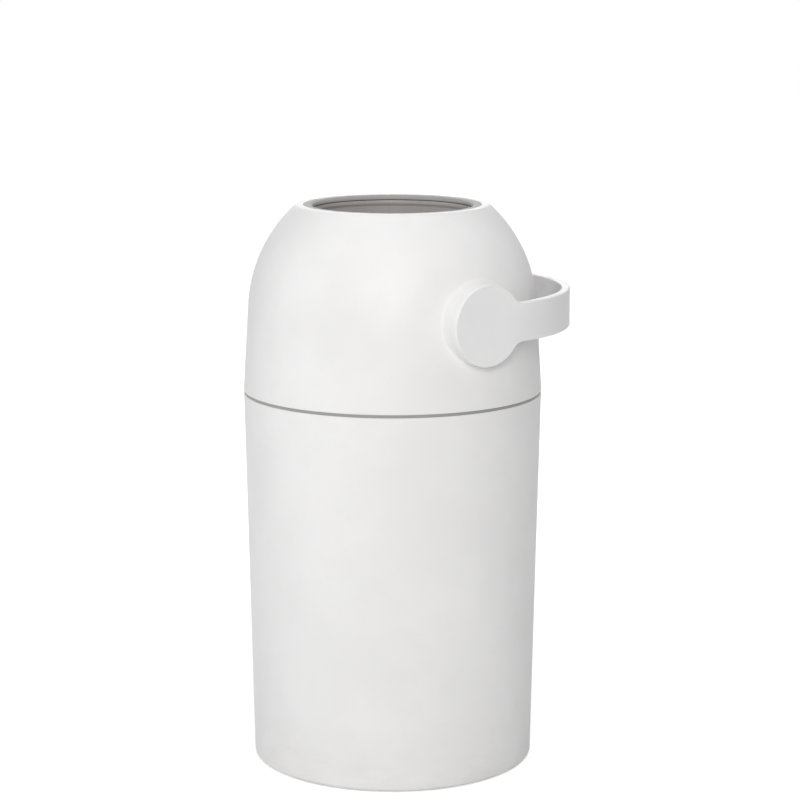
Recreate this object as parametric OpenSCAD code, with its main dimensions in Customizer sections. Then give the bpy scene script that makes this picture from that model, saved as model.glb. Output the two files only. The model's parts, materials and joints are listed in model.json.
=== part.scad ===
// Nappy bin with a turning drum: a pail, a bag ring, and a lift-off hood that holds the drum.
// The handle turns the drum half a turn, and a sliding piston pushes the nappy out below.
// Millimetres. +Z is up, the floor is z = 0, and the Z axis is the middle of the bin.
// The drum turns about a line along Y, and the handle rests towards +X.

/* [Pail] */
// Radius of the pail at its rim
pail_r = 139.8; // [136:0.2:146]
// How much smaller the pail's radius is at its foot than at its rim
pail_taper = 7.6; // [2:0.2:12]
// Height of the pail's rim above the floor
pail_h = 351.6; // [280:0.2:430]
// Wall of the pail
pail_wall = 2.7; // [2.2:0.1:3.4]
// Rounding of the pail's bottom edge
pail_edge_r = 4.5; // [3.6:0.1:8]
// Width of the floor's flat rim round its raised middle
floor_rim_w = 20; // [14:0.5:30]
// Height of the raised middle of the pail's floor
floor_step_h = 6; // [4:0.5:12]

/* [Foot ring] */
// Width of the rubber foot ring
foot_w = 9; // [6:0.5:11]
// Thickness of the rubber foot ring
foot_t = 2; // [1.6:0.1:2.4]
// Height of the pail's foot above the floor, where the ring stands proud
foot_proud = 0.8; // [0.5:0.1:1.2]

/* [Bag ring] */
// Height of the grey band that shows between pail and hood
band_h = 2.8; // [2:0.2:5]
// How far the band lies in from the pail's rim
band_inset = 0.8; // [0.2:0.1:1.4]
// Depth of the collar that hangs in the pail
collar_h = 22; // [18:1:40]
// Wall of the collar
collar_wall = 2.2; // [1.8:0.1:3]
// Room for the bag between the collar and the pail
bag_gap = 0.6; // [0.4:0.1:1.5]

/* [Hood] */
// How far the hood's lower edge stands out from the pail's rim
hood_over = 0.2; // [0:0.2:2]
// Height of the turning axis above the hood's lower edge
pivot_rise = 77; // [74:0.2:80]
// How much smaller the dome's radius is than that of the lower edge
dome_inset = 4.8; // [3.6:0.2:6]
// How far the middle of the dome's sphere lies below the turning axis
dome_drop = 4.2; // [0:0.2:6]
// Wall of the hood
hood_wall = 3; // [2.4:0.1:3.6]
// Rounding of the edge round the mouth
crown_r = 5; // [3:0.5:7]

/* [Mouth] */
// Width of the hood's flat rim round the mouth
rim_w = 5.2; // [3:0.1:8]
// Radius of the bore that takes the nappy
bore_r = 76; // [70:0.5:78]
// Width of the lip round the mouth
lip_w = 7; // [5:0.5:8]
// How far the lip stands in from the bore
lip_over = 1.7; // [0.5:0.1:2]
// Height of the lip
lip_h = 4; // [3.6:0.1:6]
// Rounding of the lip's inner edge
lip_round = 3.4; // [1:0.1:3.4]
// Wall of the mouth ring
mouth_wall = 2.4; // [2:0.1:3]

/* [Handle] */
// Radius of the handle's round hub
hub_r = 37.5; // [34:0.5:42]
// Thickness of the hub
hub_t = 9.2; // [9:0.2:12]
// Wall of the hub's face and rim
hub_wall = 3; // [2.4:0.1:3.6]
// Height of the handle's strap
strap_h = 36; // [28:1:44]
// Thickness of the strap
strap_t = 8; // [5:0.5:10]
// Straight run of each arm before it bends round
arm_l = 24; // [12:1:40]
// Rounding between the strap and the hub
neck_r = 12; // [8:1:20]
// How far the face of the round pad under each hub lies outside the dome's radius
pad_h = 2.2; // [1.8:0.2:6]
// How much smaller the pad is than the hub
pad_inset = 0.2; // [0:0.1:2]

/* [Turning stop] */
// Radius at which the stop pin runs
stop_at_r = 26; // [24:0.5:29]
// Radius of the stop pin
stop_pin_r = 2.6; // [2:0.1:3]
// Depth of the groove in which the pin runs
stop_depth = 3; // [2:0.2:3.4]

/* [Axle] */
// Radius of the axle's journal
journal_r = 9; // [8.6:0.1:10]
// Wall of the bush round the journal
bush_wall = 2.4; // [1.8:0.1:3]
// Radius of the bush's flange
bush_flange_r = 15; // [14:0.5:17]
// Thickness of the bush's flange
bush_flange_t = 1.5; // [1:0.1:2.5]
// Thickness of the hood at the bush
boss_t = 9; // [8:0.5:10]
// How far the corners of the axle's square ends lie inside the journal
square_inset = 0.5; // [0.2:0.1:1.5]
// Length of the square end in the drum
square_in_l = 22; // [14:1:24]
// Length of the square end in the hub
square_out_l = 3.6; // [2.6:0.2:4.6]
// Radius of the thrust washer behind the hub
washer_r = 15; // [13.5:0.5:18]
// Thickness of the thrust washer
washer_t = 1.3; // [0.9:0.1:2]

/* [Drum] */
// Running gap between the drum's sphere and the mouth ring
drum_gap = 0.4; // [0.3:0.1:1.6]
// Wall of the drum's shell
drum_wall = 2.5; // [2:0.1:3.5]
// Wall of the bore tube
tube_wall = 2.5; // [2:0.1:3.5]
// How far the stop lip at each end of the tube stands in
tube_lip_w = 1.5; // [1:0.1:2.5]
// Height of the stop lip at the tube's outer edge
tube_lip_h = 2; // [1.5:0.1:4]
// Radius of the boss that carries each axle
drum_boss_r = 14; // [12.5:0.5:15]
// Length of the boss that carries each axle
drum_boss_l = 27; // [20:1:30]
// How far the screw posts stand out from midway between the bore tube and the shell
post_out = 1.5; // [0:0.5:3]
// Height of the screw posts above and below the axis
post_z = 25; // [15:1:30]
// Radius of the screw posts
post_r = 6; // [5.6:0.1:7]
// Wall of the hollow screw posts
post_wall = 1.5; // [1.2:0.1:2]
// How far behind the joint the screw heads bear
post_seat_y = 8; // [5:0.5:9]

/* [Piston] */
// Length of the piston
piston_l = 50; // [36:1:80]
// Wall of the piston
piston_wall = 2.6; // [2.2:0.1:4]
// Gap between the piston and the bore
piston_gap = 0.6; // [0.4:0.1:1]
// Depth of the grooves for the piston's wiper rings
wiper_depth = 1.2; // [0.8:0.1:1.6]
// Height of the wiper rings
wiper_h = 3; // [2:0.2:5]
// Distance of each wiper ring from the piston's end
wiper_inset = 5; // [4:0.5:9]

/* [Drum housing] */
// Gap between the drum and the housing round it
housing_gap = 4; // [3:0.2:5]
// Wall of the housing
housing_wall = 2.5; // [2:0.1:3]
// How far the housing's lower opening stands out from the tube
opening_over = 3.5; // [2:0.5:6]
// Height of the housing's flange above the hood's lower edge
flange_rise = 14; // [10:1:18]
// Depth of the skirt below the hood's lower edge
skirt_drop = 11; // [8:1:14]
// Wall of the skirt
skirt_wall = 2.4; // [2:0.1:3]
// Gap between the skirt and the bag ring's collar
skirt_gap = 0.8; // [0.6:0.1:1.4]
// Distance of the housing's screws from the skirt's outer face
screw_inset = 8.4; // [7:0.2:10]
// Height of the screw pillars inside the hood
pillar_h = 20; // [16:1:22]
// Radius of the screw pillars
pillar_r = 4.5; // [3.8:0.1:5.5]
// Thickness of the web behind each pillar
web_t = 2.5; // [2:0.1:4]

/* [Seals] */
// Width of the two seals round the drum
seal_w = 9; // [7:0.5:11]
// Distance of each drum seal from the edge beside it
seal_margin = 3; // [2:0.5:5]
// Thickness of the drum seals' bodies
seal_body_t = 2.4; // [1.8:0.1:3]
// Thickness of the drum seals' wiping lips
seal_lip_t = 2.9; // [2:0.1:4]
// Height of the seal between the skirt and the bag ring
skirt_seal_h = 2.5; // [1.8:0.1:4]
// Distance of that seal's groove from the skirt's lower edge
skirt_seal_rise = 2.5; // [1.6:0.1:4]

/* [Screws] */
// Radius of the small screws' shanks
screw_r = 1.75; // [1.4:0.05:2]
// Radius of the small screws' heads
screw_head_r = 3.5; // [3:0.1:3.8]
// Height of the small screws' heads
screw_head_h = 2.4; // [1.8:0.1:3]
// Length of the small screws' shanks
screw_l = 14; // [10:1:18]
// Radius of the axle screws' shanks
axle_screw_r = 2.4; // [2:0.1:2.8]
// Radius of the axle screws' heads
axle_screw_head_r = 4.6; // [4:0.1:6]
// Height of the axle screws' heads
axle_screw_head_h = 3.2; // [2.4:0.1:4]

/* [Hidden] */
$fn = 96;

white = [0.94, 0.94, 0.93];
handle_white = [0.87, 0.87, 0.87];
lip_grey = [0.74, 0.73, 0.73];
band_grey = [0.6, 0.6, 0.6];
bore_grey = [0.55, 0.53, 0.52];
seal_grey = [0.3, 0.3, 0.32];
steel = [0.72, 0.73, 0.75];

// Clearances
fit = 0.1;       // between fixed pieces that fit together
seat = 0.3;      // between curved faces of pieces that move past each other
run = 0.05;      // round a journal in its bush
hole_play = 0.15; // round a screw's shank
room = 1;        // between a pocket and what stands in it
cut = 1;         // how far a cut runs past the surface that it opens
big = 400;       // larger than anything here

// Pail: a cone of small taper, whose wall line starts at the foot
foot_z = foot_proud;
pail_foot_r = pail_r - pail_taper;
pail_slope = pail_taper / (pail_h - foot_z);
pail_a = atan(pail_slope);
function pail_out(z) = pail_foot_r + (z - foot_z) * pail_slope;
function pail_in(z) = pail_out(z) - pail_wall / cos(pail_a);
edge_z = foot_z + pail_edge_r;
edge_x = pail_out(edge_z) - pail_edge_r / cos(pail_a);
step_side = floor_step_h / 2;
floor_step_r = edge_x - floor_rim_w - step_side;
foot_mid_r = (floor_step_r + step_side + edge_x) / 2;

// Bag ring: its collar clears the pail at the collar's lower end
collar_out = pail_in(pail_h - collar_h) - bag_gap;
collar_in = collar_out - collar_wall;

// Hood, measured from the turning axis: the skirt is a cone that meets the dome without a corner
hood_edge_z = pail_h + band_h;
hood_edge_r = pail_r + hood_over;
pivot_z = hood_edge_z + pivot_rise;
dome_r = hood_edge_r - dome_inset;
dome_c = [0, -dome_drop];
edge_v = [hood_edge_r, -pivot_rise] - dome_c;
skirt_a = acos(dome_r / norm(edge_v)) + atan2(edge_v.y, edge_v.x);
function hood_in(z) = hood_edge_r - (z + pivot_rise) * tan(skirt_a) - hood_wall / cos(skirt_a);
mouth_r = bore_r + lip_w;
crown_x = mouth_r + rim_w;
crown_z = crown_r - dome_drop + sqrt(pow(dome_r - crown_r, 2) - crown_x * crown_x);
crown_c = [crown_x, crown_z - crown_r];
lip_r = bore_r - lip_over;
lip_low = crown_z - lip_h;
ceiling_z = crown_z - hood_wall;

// Drum: its sphere passes just under the lip's inner edge
drum_r = norm([lip_r, lip_low]) - drum_gap;
tube_out = bore_r + tube_wall;
tube_half = sqrt(drum_r * drum_r - tube_out * tube_out);
piston_r = bore_r - piston_gap;
piston_low = -tube_half + tube_lip_h;
piston_travel = 2 * (tube_half - tube_lip_h) - piston_l;
wiper_r = bore_r - seat;

// Drum housing
housing_in = drum_r + housing_gap;
housing_out = housing_in + housing_wall;
opening_r = tube_out + opening_over;
flange_z = flange_rise - pivot_rise;
flange_top = flange_z + housing_wall;
flange_r = hood_in(flange_top) - seat;
skirt_out = collar_in - skirt_gap;
skirt_low = -pivot_rise - skirt_drop;
screw_circle_r = skirt_out - screw_inset;
seal_groove_d = skirt_wall / 2;
seal_groove_z = skirt_low + skirt_seal_rise;

// Along the turning axis, outwards from the bin's middle
pad_y = dome_r + pad_h;
hub_in_y = pad_y + 2 * seat;
hub_out_y = hub_in_y + hub_t;
bush_seat_y = pad_y - boss_t;
bush_out = journal_r + run + bush_wall;
drum_boss_y = bush_seat_y - bush_flange_t - seat;
drum_boss_in_y = drum_boss_y - drum_boss_l;
square_in_y = drum_boss_y - square_in_l;
square_w = sqrt(2) * (journal_r - square_inset);
washer_y = pad_y + fit;
washer_seat_y = washer_y + washer_t + fit;
square_out_y = washer_seat_y + square_out_l;
axle_screw_end_y = hub_out_y - hub_wall / 2;
pad_r = hub_r - pad_inset;
core_in_r = bush_flange_r + hood_wall;
core_out_r = pad_r - hood_wall;
core_y = pad_y - stop_depth - hood_wall;
stop_groove_r = stop_pin_r + seat;
pin_boss_r = stop_pin_r + hub_wall / 2;
post_x = (tube_out + drum_r) / 2 + post_out;

// Seals: angles from the vertical through the drum's middle, where each seal starts
function arc_a(l, r) = l / r * 180 / PI;
upper_wall_r = dome_r - dome_drop - hood_wall - fit - mouth_wall;
upper_seal_a = acos((ceiling_z - fit - mouth_wall) / upper_wall_r) + arc_a(seal_margin, upper_wall_r);
upper_wall_a = upper_seal_a + arc_a(seal_w + seal_margin, upper_wall_r);
lower_seal_a = asin(opening_r / housing_in) + arc_a(seal_margin, housing_in);

echo(pivot_z = pivot_z, mouth_z = pivot_z + crown_z, drum_r = drum_r, tube_half = tube_half);
echo(piston_low = pivot_z + piston_low, piston_travel = piston_travel);
echo(skirt_a = skirt_a, collar_in = collar_in, flange_r = flange_r, flange_z = pivot_z + flange_z);
echo(hub_out_y = hub_out_y, opening_r = opening_r, opening_z = pivot_z - tube_half);

// A rectangle between two radii and two heights
module band2(r1, r2, z1, z2) {
    translate([r1, z1]) square([r2 - r1, z2 - z1]);
}

// A narrow slice of the half plane between two angles from the vertical
module slice2(a1, a2) {
    polygon([[0, 0], big * [sin(a1), cos(a1)], big * [sin(a2), cos(a2)]]);
}

// Part of a round wall between two radii and two angles from the vertical
module arc2(r1, r2, a1, a2) {
    intersection() {
        difference() {
            circle(r2);
            circle(r1);
        }
        slice2(a1, a2);
    }
}

// Lays a shape that is drawn along Z on the turning axis, on the side s (1 rear, -1 front)
module on_axis(s) {
    translate([0, 0, pivot_z]) rotate([-90 * s, 0, 0]) children();
}

// The pail's outline, moved inwards by o, up to a height
module pail_outline(o, top) {
    r = pail_edge_r - o;
    polygon([[0, foot_z + o], [edge_x, foot_z + o], [edge_x, edge_z],
        [edge_x + r * cos(pail_a), edge_z - r * sin(pail_a)],
        [pail_out(top) - o / cos(pail_a), top], [0, top]]);
    translate([edge_x, edge_z]) circle(r);
}

// The tapered pail, with a raised middle in its floor and a groove for the foot ring
module pail() {
    color(white) rotate_extrude() difference() {
        union() {
            difference() {
                pail_outline(0, pail_h);
                pail_outline(pail_wall, pail_h + cut);
            }
            polygon([[0, foot_z], [floor_step_r + step_side + pail_wall, foot_z],
                [floor_step_r + pail_wall, foot_z + floor_step_h + pail_wall],
                [0, foot_z + floor_step_h + pail_wall]]);
        }
        polygon([[0, foot_z - cut], [floor_step_r + step_side, foot_z - cut],
            [floor_step_r + step_side, foot_z], [floor_step_r, foot_z + floor_step_h],
            [0, foot_z + floor_step_h]]);
        band2(foot_mid_r - foot_w / 2 - fit, foot_mid_r + foot_w / 2 + fit, 0, foot_t);
        translate([-big, 0]) square([big, big]);
    }
}

// The rubber ring that the bin stands on
module foot_ring() {
    color(seal_grey) rotate_extrude()
        band2(foot_mid_r - foot_w / 2, foot_mid_r + foot_w / 2, 0, foot_t);
}

// The grey ring that clamps the bag in the pail's rim and shows as a band
module bag_ring() {
    color(band_grey) rotate_extrude() {
        band2(collar_in, pail_r - band_inset, pail_h, pail_h + band_h);
        band2(collar_in, collar_out, pail_h - collar_h, pail_h + band_h);
    }
}

// The hood's outline, moved inwards by o, measured from the turning axis, down to the height low.
// The dome reaches a little below its joint with the skirt, inside the skirt.
module hood_outline(o, low) {
    below = 6;
    skirt_top = dome_c + (dome_r - o) * [cos(skirt_a), sin(skirt_a)];
    intersection() {
        translate(dome_c) circle(dome_r - o);
        translate([0, skirt_top.y - below]) square(big);
    }
    polygon([[0, skirt_top.y], skirt_top, [hood_in(low) + (hood_wall - o) / cos(skirt_a), low], [0, low]]);
}

// The hood's outside as a solid, with its rounded crown
module hood_outside() {
    out = (crown_c - dome_c) / norm(crown_c - dome_c);
    translate([0, 0, pivot_z]) rotate_extrude() {
        difference() {
            hood_outline(0, -pivot_rise);
            band2(0, big, crown_z, big);
            polygon([crown_c, crown_c + [0, big], crown_c + big * [1, 2], crown_c + big * out]);
        }
        translate(crown_c) circle(crown_r);
    }
}

// The space inside the hood at a distance o from its outside
module hood_inside(o) {
    translate([0, 0, pivot_z]) rotate_extrude() difference() {
        hood_outline(o, -pivot_rise - cut);
        band2(0, big, crown_z - o, big);
    }
}

// The half-round groove in a pad, in which the stop pin runs over the top from end to end
module stop_groove(s) {
    on_axis(s) translate([0, 0, pad_y - stop_depth]) {
        intersection() {
            difference() {
                cylinder(r = stop_at_r + stop_groove_r, h = stop_depth + cut);
                translate([0, 0, -cut]) cylinder(r = stop_at_r - stop_groove_r, h = big);
            }
            translate([-big / 2, s > 0 ? -big : 0, -cut]) cube(big);
        }
        for (x = [-stop_at_r, stop_at_r])
            translate([x, 0, 0]) cylinder(r = stop_groove_r, h = stop_depth + cut);
    }
}

// Six pillars for the housing's screws, each on a web that ends in the hood's wall
module pillars() {
    for (a = [0:60:300])
        rotate(a) {
            translate([screw_circle_r, 0, pivot_z + flange_top]) cylinder(r = pillar_r, h = pillar_h);
            translate([screw_circle_r, -web_t / 2, pivot_z + flange_top])
                cube([hood_edge_r - screw_circle_r, web_t, pillar_h]);
        }
}

// The white hood: a domed shell with two round pads, bosses for the bushes and six screw pillars
module hood() {
    color(white) difference() {
        union() {
            difference() {
                union() {
                    hood_outside();
                    for (s = [-1, 1])
                        on_axis(s) cylinder(r = pad_r, h = pad_y);
                }
                hood_inside(hood_wall);
            }
            for (s = [-1, 1])
                on_axis(s) translate([0, 0, bush_seat_y]) cylinder(r = core_in_r, h = boss_t - hood_wall / 2);
            intersection() {
                pillars();
                hood_inside(hood_wall / 2);
            }
        }
        cylinder(r = mouth_r, h = big + pivot_z);
        for (a = [0:60:300])
            rotate(a) translate([screw_circle_r, 0, pivot_z + flange_z])
                cylinder(r = screw_r + hole_play, h = screw_l + room);
        for (s = [-1, 1]) {
            on_axis(s) {
                cylinder(r = bush_out + fit, h = pad_y + cut);
                difference() {
                    cylinder(r = core_out_r, h = core_y);
                    cylinder(r = core_in_r, h = core_y + cut);
                }
            }
            stop_groove(s);
        }
    }
}

// The pale lip round the mouth, with the flange that holds it under the hood's crown
module mouth_ring() {
    lip_top = crown_z - fit;
    color(lip_grey) translate([0, 0, pivot_z]) rotate_extrude() difference() {
        union() {
            intersection() {
                union() {
                    translate([lip_r + lip_round, lip_top - lip_round]) circle(lip_round);
                    band2(0, big, 0, lip_top - lip_round);
                    band2(lip_r + lip_round, big, 0, lip_top);
                }
                band2(lip_r, mouth_r - fit, lip_low, big);
            }
            band2(mouth_r - fit - mouth_wall, mouth_r - fit, ceiling_z - mouth_wall, crown_z - fit);
            difference() {
                intersection() {
                    translate(dome_c) circle(dome_r - hood_wall - fit);
                    band2(mouth_r - fit - mouth_wall, big, 0, ceiling_z - fit);
                }
                circle(upper_wall_r);
                polygon([[0, 0], big * [sin(upper_wall_a), cos(upper_wall_a)], [big, 0]]);
            }
            difference() {
                intersection() {
                    translate(dome_c) circle(dome_r - hood_wall - fit);
                    band2(mouth_r - fit - mouth_wall, big, ceiling_z - fit - mouth_wall, ceiling_z - fit);
                }
                circle(drum_r);
            }
        }
        circle(drum_r + drum_gap);
    }
}

// A soft ring inside a round wall, with a thin lip that wipes the drum's sphere, from an angle
module drum_seal(outer, from_a) {
    to_a = from_a + arc_a(seal_w, outer);
    lip_a = arc_a(seal_lip_t, outer);
    mid_a = (from_a + to_a - lip_a) / 2;
    arc2(outer - seal_body_t, outer, from_a, to_a);
    arc2(drum_r + seat, outer - seal_body_t / 2, mid_a, mid_a + lip_a);
}

// The soft seal between the mouth ring and the drum
module upper_seal() {
    color(seal_grey) translate([0, 0, pivot_z]) rotate_extrude()
        drum_seal(upper_wall_r - fit, upper_seal_a);
}

// The bowl under the drum: a spherical wall with the outlet, a flange and a skirt
module drum_housing() {
    color(bore_grey) difference() {
        translate([0, 0, pivot_z]) rotate_extrude() difference() {
            union() {
                intersection() {
                    circle(housing_out);
                    band2(opening_r, big, -big, flange_top);
                }
                band2(sqrt(housing_in * housing_in - flange_top * flange_top), flange_r,
                    flange_z, flange_top);
                band2(skirt_out - skirt_wall, skirt_out, skirt_low, flange_top);
            }
            circle(housing_in);
            band2(skirt_out - seal_groove_d, skirt_out + cut, seal_groove_z,
                seal_groove_z + skirt_seal_h + 2 * fit);
        }
        for (a = [0:60:300])
            rotate(a) translate([screw_circle_r, 0, pivot_z + flange_z - cut])
                cylinder(r = screw_r + hole_play, h = housing_wall + 2 * cut);
    }
}

// The soft seal between the housing and the drum
module lower_seal() {
    color(seal_grey) translate([0, 0, pivot_z]) mirror([0, 0, 1]) rotate_extrude()
        drum_seal(housing_in - fit, lower_seal_a);
}

// The soft ring in the skirt's groove that closes on the bag ring's collar
module hood_seal() {
    color(seal_grey) translate([0, 0, pivot_z]) rotate_extrude()
        band2(skirt_out - seal_groove_d + fit, collar_in - seat,
            seal_groove_z + fit, seal_groove_z + fit + skirt_seal_h);
}

// A screw along Z with its head's seat at z = 0, its head below it and a cross recess
module screw(r, l, head_r, head_h) {
    cross = 0.6;
    cross_t = 0.24;
    difference() {
        union() {
            translate([0, 0, -head_h]) cylinder(r = head_r, h = head_h);
            cylinder(r = r, h = l);
        }
        for (a = [0, 90])
            rotate(a) translate([-cross * head_r, -cross_t * head_r / 2, -head_h - cut])
                cube([2 * cross * head_r, cross_t * head_r, cut + cross * head_h]);
    }
}

// Six screws that hold the housing to the hood's pillars
module housing_screws() {
    color(steel) for (a = [0:60:300])
        rotate(a) translate([screw_circle_r, 0, pivot_z + flange_z])
            screw(screw_r, screw_l, screw_head_r, screw_head_h);
}

// A flanged bush in the hood, in which the axle's journal turns
module axle_bush(s) {
    color(bore_grey) on_axis(s) difference() {
        union() {
            translate([0, 0, bush_seat_y - bush_flange_t]) cylinder(r = bush_flange_r, h = bush_flange_t);
            translate([0, 0, bush_seat_y - bush_flange_t / 2])
                cylinder(r = bush_out, h = boss_t - fit + bush_flange_t / 2);
        }
        cylinder(r = journal_r + run, h = hub_out_y);
    }
}

module axle_bush_front() { axle_bush(-1); }
module axle_bush_rear() { axle_bush(1); }

// One half of the drum's sphere, with the tube's holes and the boss for the axle
module drum_half(s) {
    difference() {
        union() {
            translate([0, 0, pivot_z]) difference() {
                sphere(drum_r);
                sphere(drum_r - drum_wall);
            }
            on_axis(s) translate([0, 0, drum_boss_in_y]) cylinder(r = drum_boss_r, h = drum_boss_l);
        }
        translate([0, 0, pivot_z - drum_r]) cylinder(r = tube_out + fit, h = 2 * drum_r);
        translate([-big, s > 0 ? -2 * big : 0, 0]) cube(2 * big);
        on_axis(s) {
            translate([-square_w / 2 - fit, -square_w / 2 - fit, square_in_y - fit])
                cube([square_w + 2 * fit, square_w + 2 * fit, square_in_l + fit + cut]);
            cylinder(r = axle_screw_r + hole_play, h = hub_out_y);
        }
    }
}

// Puts its children at the four screw posts, along the direction of s
module at_posts(s) {
    for (x = [-post_x, post_x], z = [-post_z, post_z])
        on_axis(s) translate([x, z, 0]) children();
}

// The four screw posts of one half, which end in the drum's shell
module posts(s) {
    intersection() {
        at_posts(s) cylinder(r = post_r, h = drum_r);
        translate([0, 0, pivot_z]) sphere(drum_r - drum_wall / 2);
    }
}

// The front half of the drum, with four blind posts for the screws
module drum_front() {
    color(bore_grey) difference() {
        union() {
            drum_half(-1);
            posts(-1);
        }
        at_posts(-1) translate([0, 0, -cut])
            cylinder(r = screw_r + hole_play, h = screw_l - post_seat_y + room + cut);
    }
}

// The rear half of the drum, with four hollow posts that open in its face for the screws
module drum_rear() {
    color(bore_grey) difference() {
        union() {
            drum_half(1);
            posts(1);
        }
        at_posts(1) {
            translate([0, 0, -cut]) cylinder(r = screw_r + hole_play, h = drum_r);
            translate([0, 0, post_seat_y]) cylinder(r = post_r - post_wall, h = drum_r);
        }
    }
}

// Four screws that join the halves of the drum
module drum_screws() {
    color(steel) at_posts(1) translate([0, 0, post_seat_y]) mirror([0, 0, 1])
        screw(screw_r, screw_l, screw_head_r, screw_head_h);
}

// The straight tube through the drum that holds the nappy, with a stop lip at each end.
// Its ends lie on the drum's sphere.
module drum_tube() {
    color(bore_grey) translate([0, 0, pivot_z]) rotate_extrude() intersection() {
        circle(drum_r);
        union() {
            band2(bore_r, tube_out, -drum_r, drum_r);
            for (m = [0, 1])
                mirror([0, m]) band2(bore_r - tube_lip_w, tube_out, tube_half - tube_lip_h, drum_r);
        }
    }
}

// A short axle: square in the drum, round in the bush, square in the hub, bored for its screw
module axle(s) {
    color(steel) on_axis(s) difference() {
        union() {
            translate([-square_w / 2, -square_w / 2, square_in_y])
                cube([square_w, square_w, square_out_y - square_in_y]);
            translate([0, 0, drum_boss_y]) cylinder(r = journal_r, h = washer_seat_y - drum_boss_y);
        }
        cylinder(r = axle_screw_r + hole_play, h = hub_out_y);
    }
}

module axle_front() { axle(-1); }
module axle_rear() { axle(1); }

// The two screws that pull drum, axle and hub together, put in from inside the drum
module axle_screws() {
    color(steel) for (s = [-1, 1])
        on_axis(s) translate([0, 0, drum_boss_in_y])
            screw(axle_screw_r, axle_screw_end_y - drum_boss_in_y, axle_screw_head_r, axle_screw_head_h);
}

// The handle from the side: the strap and its rounded necks, seen along the turning axis
module strap_side() {
    h = strap_h / 2;
    neck_y = h + neck_r;
    neck_x = sqrt(pow(hub_r + neck_r, 2) - neck_y * neck_y);
    translate([0, -h]) square([big, strap_h]);
    for (m = [0, 1])
        mirror([0, m]) difference() {
            polygon([[0, 0], [neck_x, 0], [neck_x, h],
                [neck_x, neck_y], neck_y * [neck_x, neck_y] / neck_y * hub_r / (hub_r + neck_r)]);
            translate([neck_x, neck_y]) circle(neck_r);
        }
}

// The handle's outline from above: a half round on two straight sides, which start at x = from
module handle_plan(r, from) {
    translate([arm_l, 0]) circle(r);
    translate([from, -r]) square([arm_l - from, 2 * r]);
}

// A block of the handle's height with that outline
module handle_block(r, from) {
    translate([0, 0, pivot_z - hub_r]) linear_extrude(2 * hub_r) handle_plan(r, from);
}

// The white handle: a bent strap with two round hubs, each with a socket and a stop pin.
// The hubs' outer faces follow the strap's bend.
module handle() {
    color(handle_white) difference() {
        union() {
            intersection() {
                translate([0, hub_out_y, pivot_z]) rotate([90, 0, 0])
                    linear_extrude(2 * hub_out_y) strap_side();
                difference() {
                    handle_block(hub_out_y, 0);
                    handle_block(hub_out_y - strap_t, -cut);
                }
            }
            intersection() {
                for (s = [-1, 1])
                    on_axis(s) translate([0, 0, hub_in_y]) cylinder(r = hub_r, h = hub_t + cut);
                handle_block(hub_out_y, -hub_r - cut);
            }
        }
        for (s = [-1, 1])
            on_axis(s) difference() {
                cylinder(r = hub_r - hub_wall, h = hub_out_y - hub_wall);
                translate([0, 0, washer_seat_y]) cylinder(r = washer_r + room, h = hub_t);
                translate([stop_at_r, 0, hub_in_y]) cylinder(r = pin_boss_r, h = hub_t);
            }
        for (s = [-1, 1])
            on_axis(s) {
                translate([-square_w / 2 - fit, -square_w / 2 - fit, 0])
                    cube([square_w + 2 * fit, square_w + 2 * fit, square_out_y + fit]);
                cylinder(r = axle_screw_r + hole_play, h = axle_screw_end_y + fit);
            }
    }
    color(handle_white) for (s = [-1, 1])
        on_axis(s) translate([stop_at_r, 0, pad_y - stop_depth + seat])
            cylinder(r = stop_pin_r, h = hub_out_y - hub_wall / 2 - pad_y + stop_depth - seat);
}

// Two thrust washers between the hubs and the hood's pads
module thrust_washers() {
    color(bore_grey) for (s = [-1, 1])
        on_axis(s) translate([0, 0, washer_y]) difference() {
            cylinder(r = washer_r, h = washer_t);
            translate([0, 0, -cut]) cylinder(r = journal_r + seat, h = washer_t + 2 * cut);
        }
}

// The piston's cup, open below, with grooves for two wiper rings
module piston_body() {
    color(lip_grey) translate([0, 0, pivot_z + piston_low]) rotate_extrude() difference() {
        band2(0, piston_r, 0, piston_l);
        band2(0, piston_r - piston_wall, -cut, piston_l - piston_wall);
        for (z = [wiper_inset, piston_l - wiper_inset - wiper_h])
            band2(piston_r - wiper_depth, piston_r + cut, z, z + wiper_h);
    }
}

// The plate that closes the piston's open end
module piston_cap() {
    color(lip_grey) translate([0, 0, pivot_z + piston_low]) rotate_extrude() {
        band2(0, piston_r - piston_wall - fit, 0, piston_wall);
        band2(piston_r - 2 * piston_wall - fit, piston_r - piston_wall - fit, 0, 3 * piston_wall);
    }
}

// Two wiper rings that run in the bore
module wiper_rings() {
    color(seal_grey) translate([0, 0, pivot_z + piston_low]) rotate_extrude()
        for (z = [wiper_inset, piston_l - wiper_inset - wiper_h])
            band2(piston_r - wiper_depth + fit, wiper_r, z + fit, z + wiper_h - fit);
}

pail();
foot_ring();
bag_ring();
hood();
mouth_ring();
upper_seal();
drum_housing();
lower_seal();
hood_seal();
housing_screws();
axle_bush_front();
axle_bush_rear();
drum_front();
drum_rear();
drum_tube();
drum_screws();
axle_front();
axle_rear();
axle_screws();
handle();
thrust_washers();
piston_body();
piston_cap();
wiper_rings();
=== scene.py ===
import json
import math

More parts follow.
